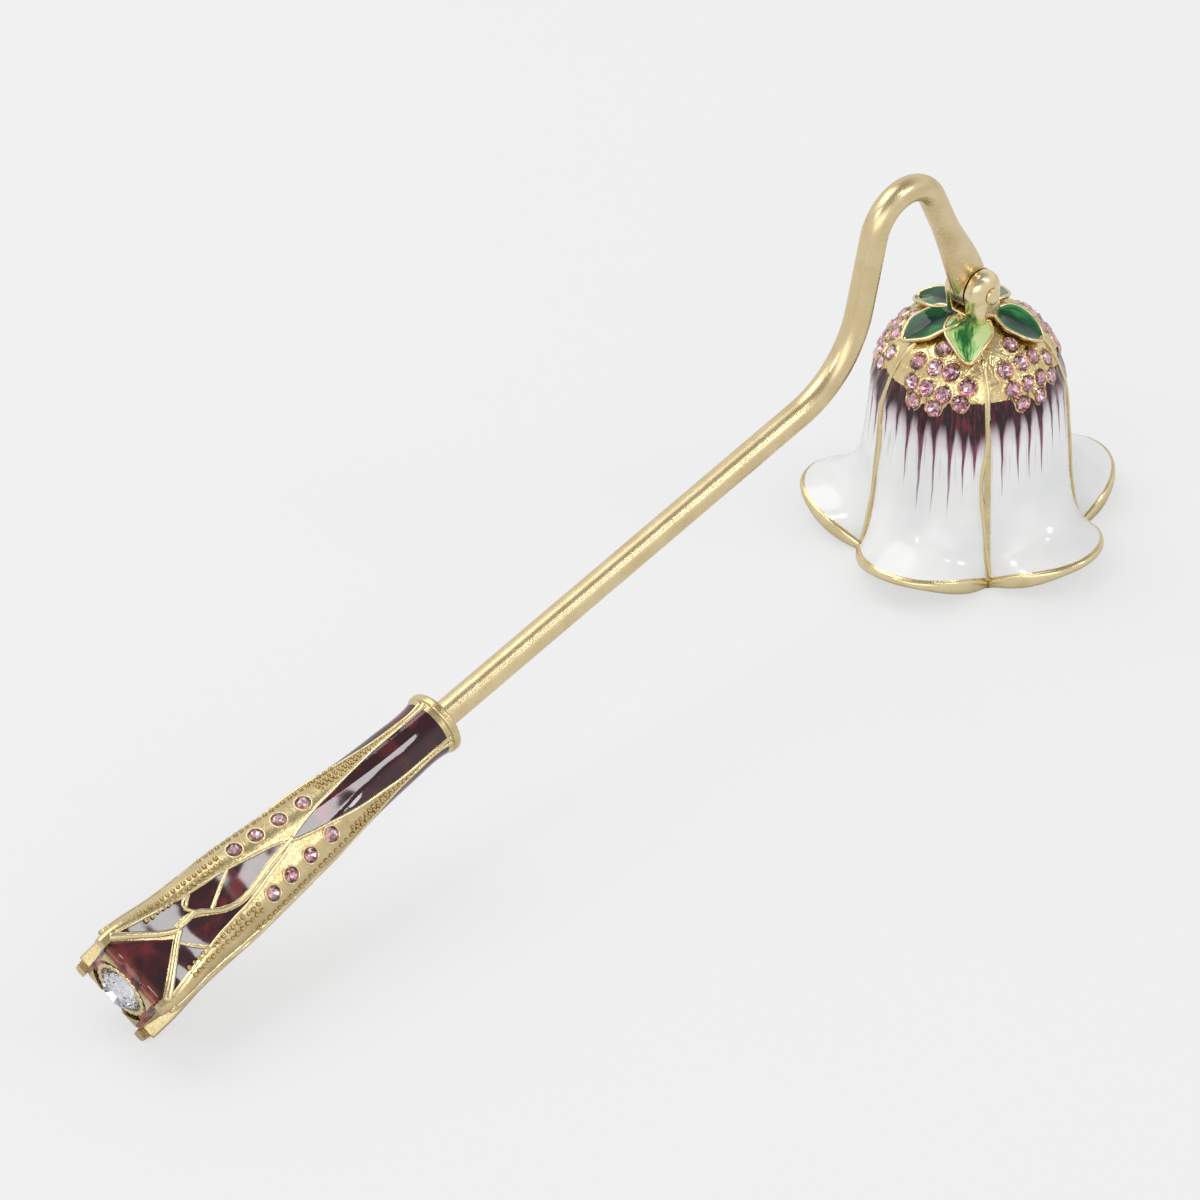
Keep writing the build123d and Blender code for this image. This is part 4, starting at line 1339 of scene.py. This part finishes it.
def onAxis(point):
    return collarPoint + towardButt * np.dot(np.asarray(point) - collarPoint, towardButt)


enamelNodes = [f"{kind}_enamel_{k}" for kind in ("lancet", "lattice", "calyx") for k in (1, 2, 3, 4)]
handleSkin = nodeTree("handle_casting", *enamelNodes)


def skinPoint(start, way):
    # the highest of a few rays, so that the narrow gaps round the enamel aren't followed
    best = None
    for shift in handle["rays"]:
        source = Vector(start + towardButt * shift)
        hit = handleSkin.ray_cast(source, Vector(-way))[0]
        if hit is not None and (best is None or (source - hit).length < best[0]):
            best = ((source - hit).length, np.array(hit) - towardButt * shift)
    return best[1]


def onFace(face, line):
    # points on the handle's skin over a line of (along, across), and the way out of the skin
    out = around(handle["firstFace"] + 90 * face)
    side = np.cross(out, towardButt)
    starts = [collarPoint + towardButt * s + side * t + out * handle["clear"] for s, t in line]
    points = np.array([skinPoint(start, out) for start in starts])
    for _ in range(handle["passes"] if len(points) > handle["fewest"] else 0):
        points[1:-1] = (points[:-2] + 2 * points[1:-1] + points[2:]) / 4
    return points, unit(unit(points - [onAxis(p) for p in points]) + out * handle["facing"])


def onCorner(corner, line):
    # the same over a corner band, where the way across is an angle round the axis
    ups = [around(handle["firstCorner"] + 90 * corner + turn) for s, turn in line]
    starts = [collarPoint + towardButt * s + up * handle["clear"] for (s, turn), up in zip(line, ups)]
    return [skinPoint(start, up) for start, up in zip(starts, ups)], ups


def tapered(steps, width, start, end, swell=0.0, beat=3.0):
    # a width that runs from one share to another and swells a little along the way
    t = np.linspace(0, 1, steps)
    return width * (start + (end - start) * t) * (1 + swell * np.sin(t * beat * 2 * math.pi))


def wire(face, line, c):
    path, ups = onFace(face, smoothLine(line, c["steps"]))
    return sweep(path, ups, tapered(c["steps"], *c["width"]), tapered(c["steps"], *c["height"]), c["sides"])


faceLines = {  # way along from the collar, way across the face
    "leftEdge": (
        (1.5, -2.38), (6.2, -2.4), (10, -2.42), (14, -2.3), (18.6, -1.94), (21.7, -1.64), (24.8, -1.36),
        (27.9, -0.86), (31.2, -0.02),
    ),
    "stem": (
        (30.4, -0.2), (31.6, 0.06), (33.2, 0.29), (36.4, 0.79), (39.7, 1.57), (42.7, 1.94), (45.3, 1.36),
        (46.9, 0.38), (48.6, -0.83), (50.6, -0.72), (52.6, -0.72),
    ),
    "rightEdge": (
        (1.5, 3.2), (6.2, 3.12), (10, 3.18), (14, 2.96), (18.6, 2.62), (21.7, 2.2), (24.8, 1.6), (27.9, 0.98),
        (30.6, 0.2), (32.0, -0.5),
    ),
    "leftBand": (
        (31.8, -0.4), (33.8, -1.08), (37.4, -1.85), (41.9, -2.82), (46.8, -3.38), (50.7, -4.0), (54.6, -4.72),
        (59.6, -5.75),
    ),
    "rightBand": (
        (31.0, 0.2), (32.2, 0.62), (33.8, 1.08), (37.4, 1.85), (41.9, 2.82), (46.8, 3.38), (50.7, 4.0),
        (54.6, 4.72), (59.6, 5.75),
    ),
    "leftRidge": ((52.2, -0.5), (53.6, -1.0), (55.3, -1.95), (57.7, -3.7), (60.6, -5.9)),
    "rightRidge": ((52.2, -0.4), (53.6, 0.45), (55.0, 1.55), (57.3, 3.4), (60.6, 5.9)),
    "upperVein": ((46.9, 0.30), (44.6, -0.9), (42.6, -1.9), (40.6, -2.75)),
    "outerVein": ((48.7, -0.95), (49.5, -2.2), (49.3, -3.05), (47.2, -3.6)),
    "lowerVein": ((53.6, 0.8), (52.6, 2.2), (50.9, 3.95)),
}
faceWires = {  # each width and height: its size, its shares at the start and the end, its swell and beats
    "edge": {"width": (0.56, 1.0, 1.0, 0.06, 5), "height": (0.5, 1, 1), "steps": 70, "sides": 10},
    "band": {"width": (0.504, 0.9, 1.15, 0.09, 7), "height": (0.5, 1, 1), "steps": 80, "sides": 10},
    "branch": {"width": (0.86, 0.66, 1.0, 0.06, 4), "height": (0.72, 1, 1), "steps": 110, "sides": 12},
    "vein": {"width": (0.42, 1.25, 0.85), "height": (0.42, 1.2, 0.8), "steps": 24, "sides": 10},
    "ridge": {"width": (1.05, 0.8, 1.15), "height": (0.9, 1, 1), "steps": 40, "sides": 12},
}
facePieces = {  # the wires of each piece, and the line that each follows
    "lancetEdges": (("edge", "leftEdge"), ("edge", "rightEdge")),
    "bandEdges": (("band", "leftBand"), ("band", "rightBand")),
    "branch": (("branch", "stem"), ("vein", "upperVein"), ("vein", "outerVein"), ("vein", "lowerVein")),
    "calyxRidges": (("ridge", "leftRidge"), ("ridge", "rightRidge")),
}
for face in range(4):
    for name, parts in facePieces.items():
        wires = [wire(face, faceLines[line], faceWires[look]) for look, line in parts]
        addWire(f"{name}_{face + 1}", join(wires), "handle")
print("wires of the handle's faces made")

milgrain = {  # rows of grains: their angle from the corner, and their start and end along the handle
    "upper": {
        "rows": ((6.5, 8.5, 23.4), (0, 13.0, 23.0), (12.5, 14.5, 23.4)),
        "pitch": 0.9,
        "radius": 0.31,
        "paired": False,
    },
    "lower": {"rows": ((5, 41.0, 56.5), (13, 41.0, 56.5)), "pitch": 1.0, "radius": 0.4, "paired": True},
    "far": {"rows": ((-12, 17.0, 44.0),), "pitch": 1.1, "radius": 0.36, "paired": True},
}
grain = {
    "rings": 4,
    "sides": 8,
    "foot": 0.4,  # share of its radius that goes into the skin
    "along": 0.08,  # how far a grain strays, as a share of the pitch
    "aside": 0.7,  # and in degrees
    "sizes": (0.85, 1.12),
    "seed": 90,
}


def bead(centre, radius, up, c):
    # a small round grain that stands on the skin
    rings, sides = c["rings"], c["sides"]
    side = unit(np.cross(up, towardButt))
    ahead = np.cross(side, up)
    points = []
    for k in range(rings):
        tilt = k / rings * math.pi / 2
        r, h = radius * math.cos(tilt), radius * math.sin(tilt)
        for t in roundTurn(sides):
            points.append(centre + side * r * math.cos(t) + ahead * r * math.sin(t) + up * h)
    points += [centre + up * radius, centre - up * radius * c["foot"]]
    top, foot = rings * sides, rings * sides + 1
    faces = ringFaces(rings, sides)
    for i in range(sides):
        j = (i + 1) % sides
        faces.append(((rings - 1) * sides + i, (rings - 1) * sides + j, top))
        faces.append((j, i, foot))
    return np.array(points), faces


def makeMilgrain(rows, c, corner):
    rng = random.Random(c["seed"] + corner)
    grains = []
    for row in rows.values():
        for turn, start, end in row["rows"]:
            lean = -turn if row["paired"] and corner % 2 else turn
            line = []
            for i in range(int((end - start) / row["pitch"])):
                along = start + row["pitch"] * (i + rng.uniform(-c["along"], c["along"]))
                line.append((along, lean + rng.uniform(-c["aside"], c["aside"])))
            for centre, up in zip(*onCorner(corner, line)):
                grains.append(bead(centre, row["radius"] * rng.uniform(*c["sizes"]), up, c))
    addPiece(f"milgrain_{corner + 1}", *join(grains), castGold, "handle", "gold_casting")


for corner in range(4):
    makeMilgrain(milgrain, grain, corner)
print("milgrain made")

settingWire = {"sides": 8, "aside": (0.01, 0.3, 0.02)}  # the second fixes where a ring starts
bandSetting = {
    "sink": 0.42,
    "lift": 0.52,
    "clear": 0.1,
    "width": 0.34,
    "height": 0.42,
    "wave": 0.0,
    "waves": 0,
    "steps": 28,
    "seed": 70,
}
buttSetting = {
    "along": 61.7,
    "clear": 0.2,
    "width": 0.62,
    "height": 0.62,
    "wave": 0.14,
    "waves": 22,
    "steps": 240,
}
buttStone = {
    "crown": 1.7,
    "depth": 2.4,
    "girdle": 0.16,
    "table": 0.56,
    "sides": 12,
    "tilt": 0.0,
    "along": 61.35,
    "larger": 1.04,
    "seed": 1,
}


def ringRound(centre, axis, radius, c):
    # a ring of wire square to an axis, its radius waved if asked
    turn = roundTurn(c["steps"])
    side = unit(np.cross(axis, towardButt + np.array(settingWire["aside"])))
    ahead = np.cross(axis, side)
    reach = radius + c["clear"] + c["wave"] * np.cos(turn * c["waves"])
    path = centre + (side * np.cos(turn)[:, None] + ahead * np.sin(turn)[:, None]) * reach[:, None]
    ups = np.tile(axis, (c["steps"], 1))
    return sweep(path, ups, c["width"], c["height"], settingWire["sides"], closed=True)


def makeBandStones(c, corner):
    cadNode = f"band_crystals_{corner + 1}"
    places = stonePlaces(cadNode, onAxis)
    setStones(
        f"bandStones_{corner + 1}", cadNode, places, c["sink"], crystal, c["seed"] + corner,
        "handle", "pink_crystal", (pinkCrystal, pinkFoil),
    )
    rings = [ringRound(seat + axis * c["lift"], axis, radius, c) for seat, axis, radius in places]
    addWire(f"bandSettings_{corner + 1}", join(rings), "handle")


def makeButtStone(c, setting):
    seat, axis, radius = stonePlaces("butt_crystal", lambda centre: centre - towardButt)[0]
    radius = radius * c["larger"]
    sink = c["along"] - np.dot(seat - collarPoint, towardButt)
    setStones(
        "buttStone", "butt_crystal", [(seat, axis, radius)], sink, c, c["seed"],
        "handle", "clear_crystal", (clearCrystal, clearFoil),
    )
    addWire("buttSetting", ringRound(collarPoint + axis * setting["along"], axis, radius, setting), "handle")


for corner in range(4):
    makeBandStones(bandSetting, corner)
makeButtStone(buttStone, buttSetting)

calyxLip = {  # the enamel that turns over the end of each hollow, down to the crystal's setting
    "start": (60.45, 5.5, 5.0),  # along, away from the axis, half across
    "end": (61.85, 4.9, 4.8),  # the same at the other edge, which dips to the setting in its middle
    "dip": (1.1, 1.2, 1.1),  # depth, half of its level part, length of its slopes
    "bulge": 0.32,
    "bulgeUp": 0.8,
    "bevel": 0.5,  # how far the thickness leans along the handle
    "thick": 0.5,
    "rows": 14,
    "columns": 40,
}


def makeCalyxLip(c, face):
    out = around(handle["firstFace"] + 90 * face)
    side = np.cross(out, towardButt)
    shares = np.linspace(0, 1, c["rows"])[:, None]
    across = np.linspace(-1, 1, c["columns"])[None]
    along, away, reach = (c["start"][i] + (c["end"][i] - c["start"][i]) * shares for i in range(3))
    apart = reach * across
    depth, level, slopes = c["dip"]
    slope = np.clip((np.abs(apart) - level) / slopes, 0, 1)
    away = away - depth * (1 - ease(slope)) * shares
    bulge = c["bulge"] * np.sin(math.pi * shares)

    def field(lift):
        high, far = away + lift + bulge * c["bulgeUp"], along + bulge + lift * c["bevel"]
        return collarPoint + towardButt * far[..., None] + out * high[..., None] + side * apart[..., None]

    shape = slab(field(0.0), field(-c["thick"]))
    addPiece(f"calyxLip_{face + 1}", *shape, wineGlaze, "handle", "wine_enamel", crease=60)


for face in range(4):
    makeCalyxLip(calyxLip, face)
print("crystals of the handle set")
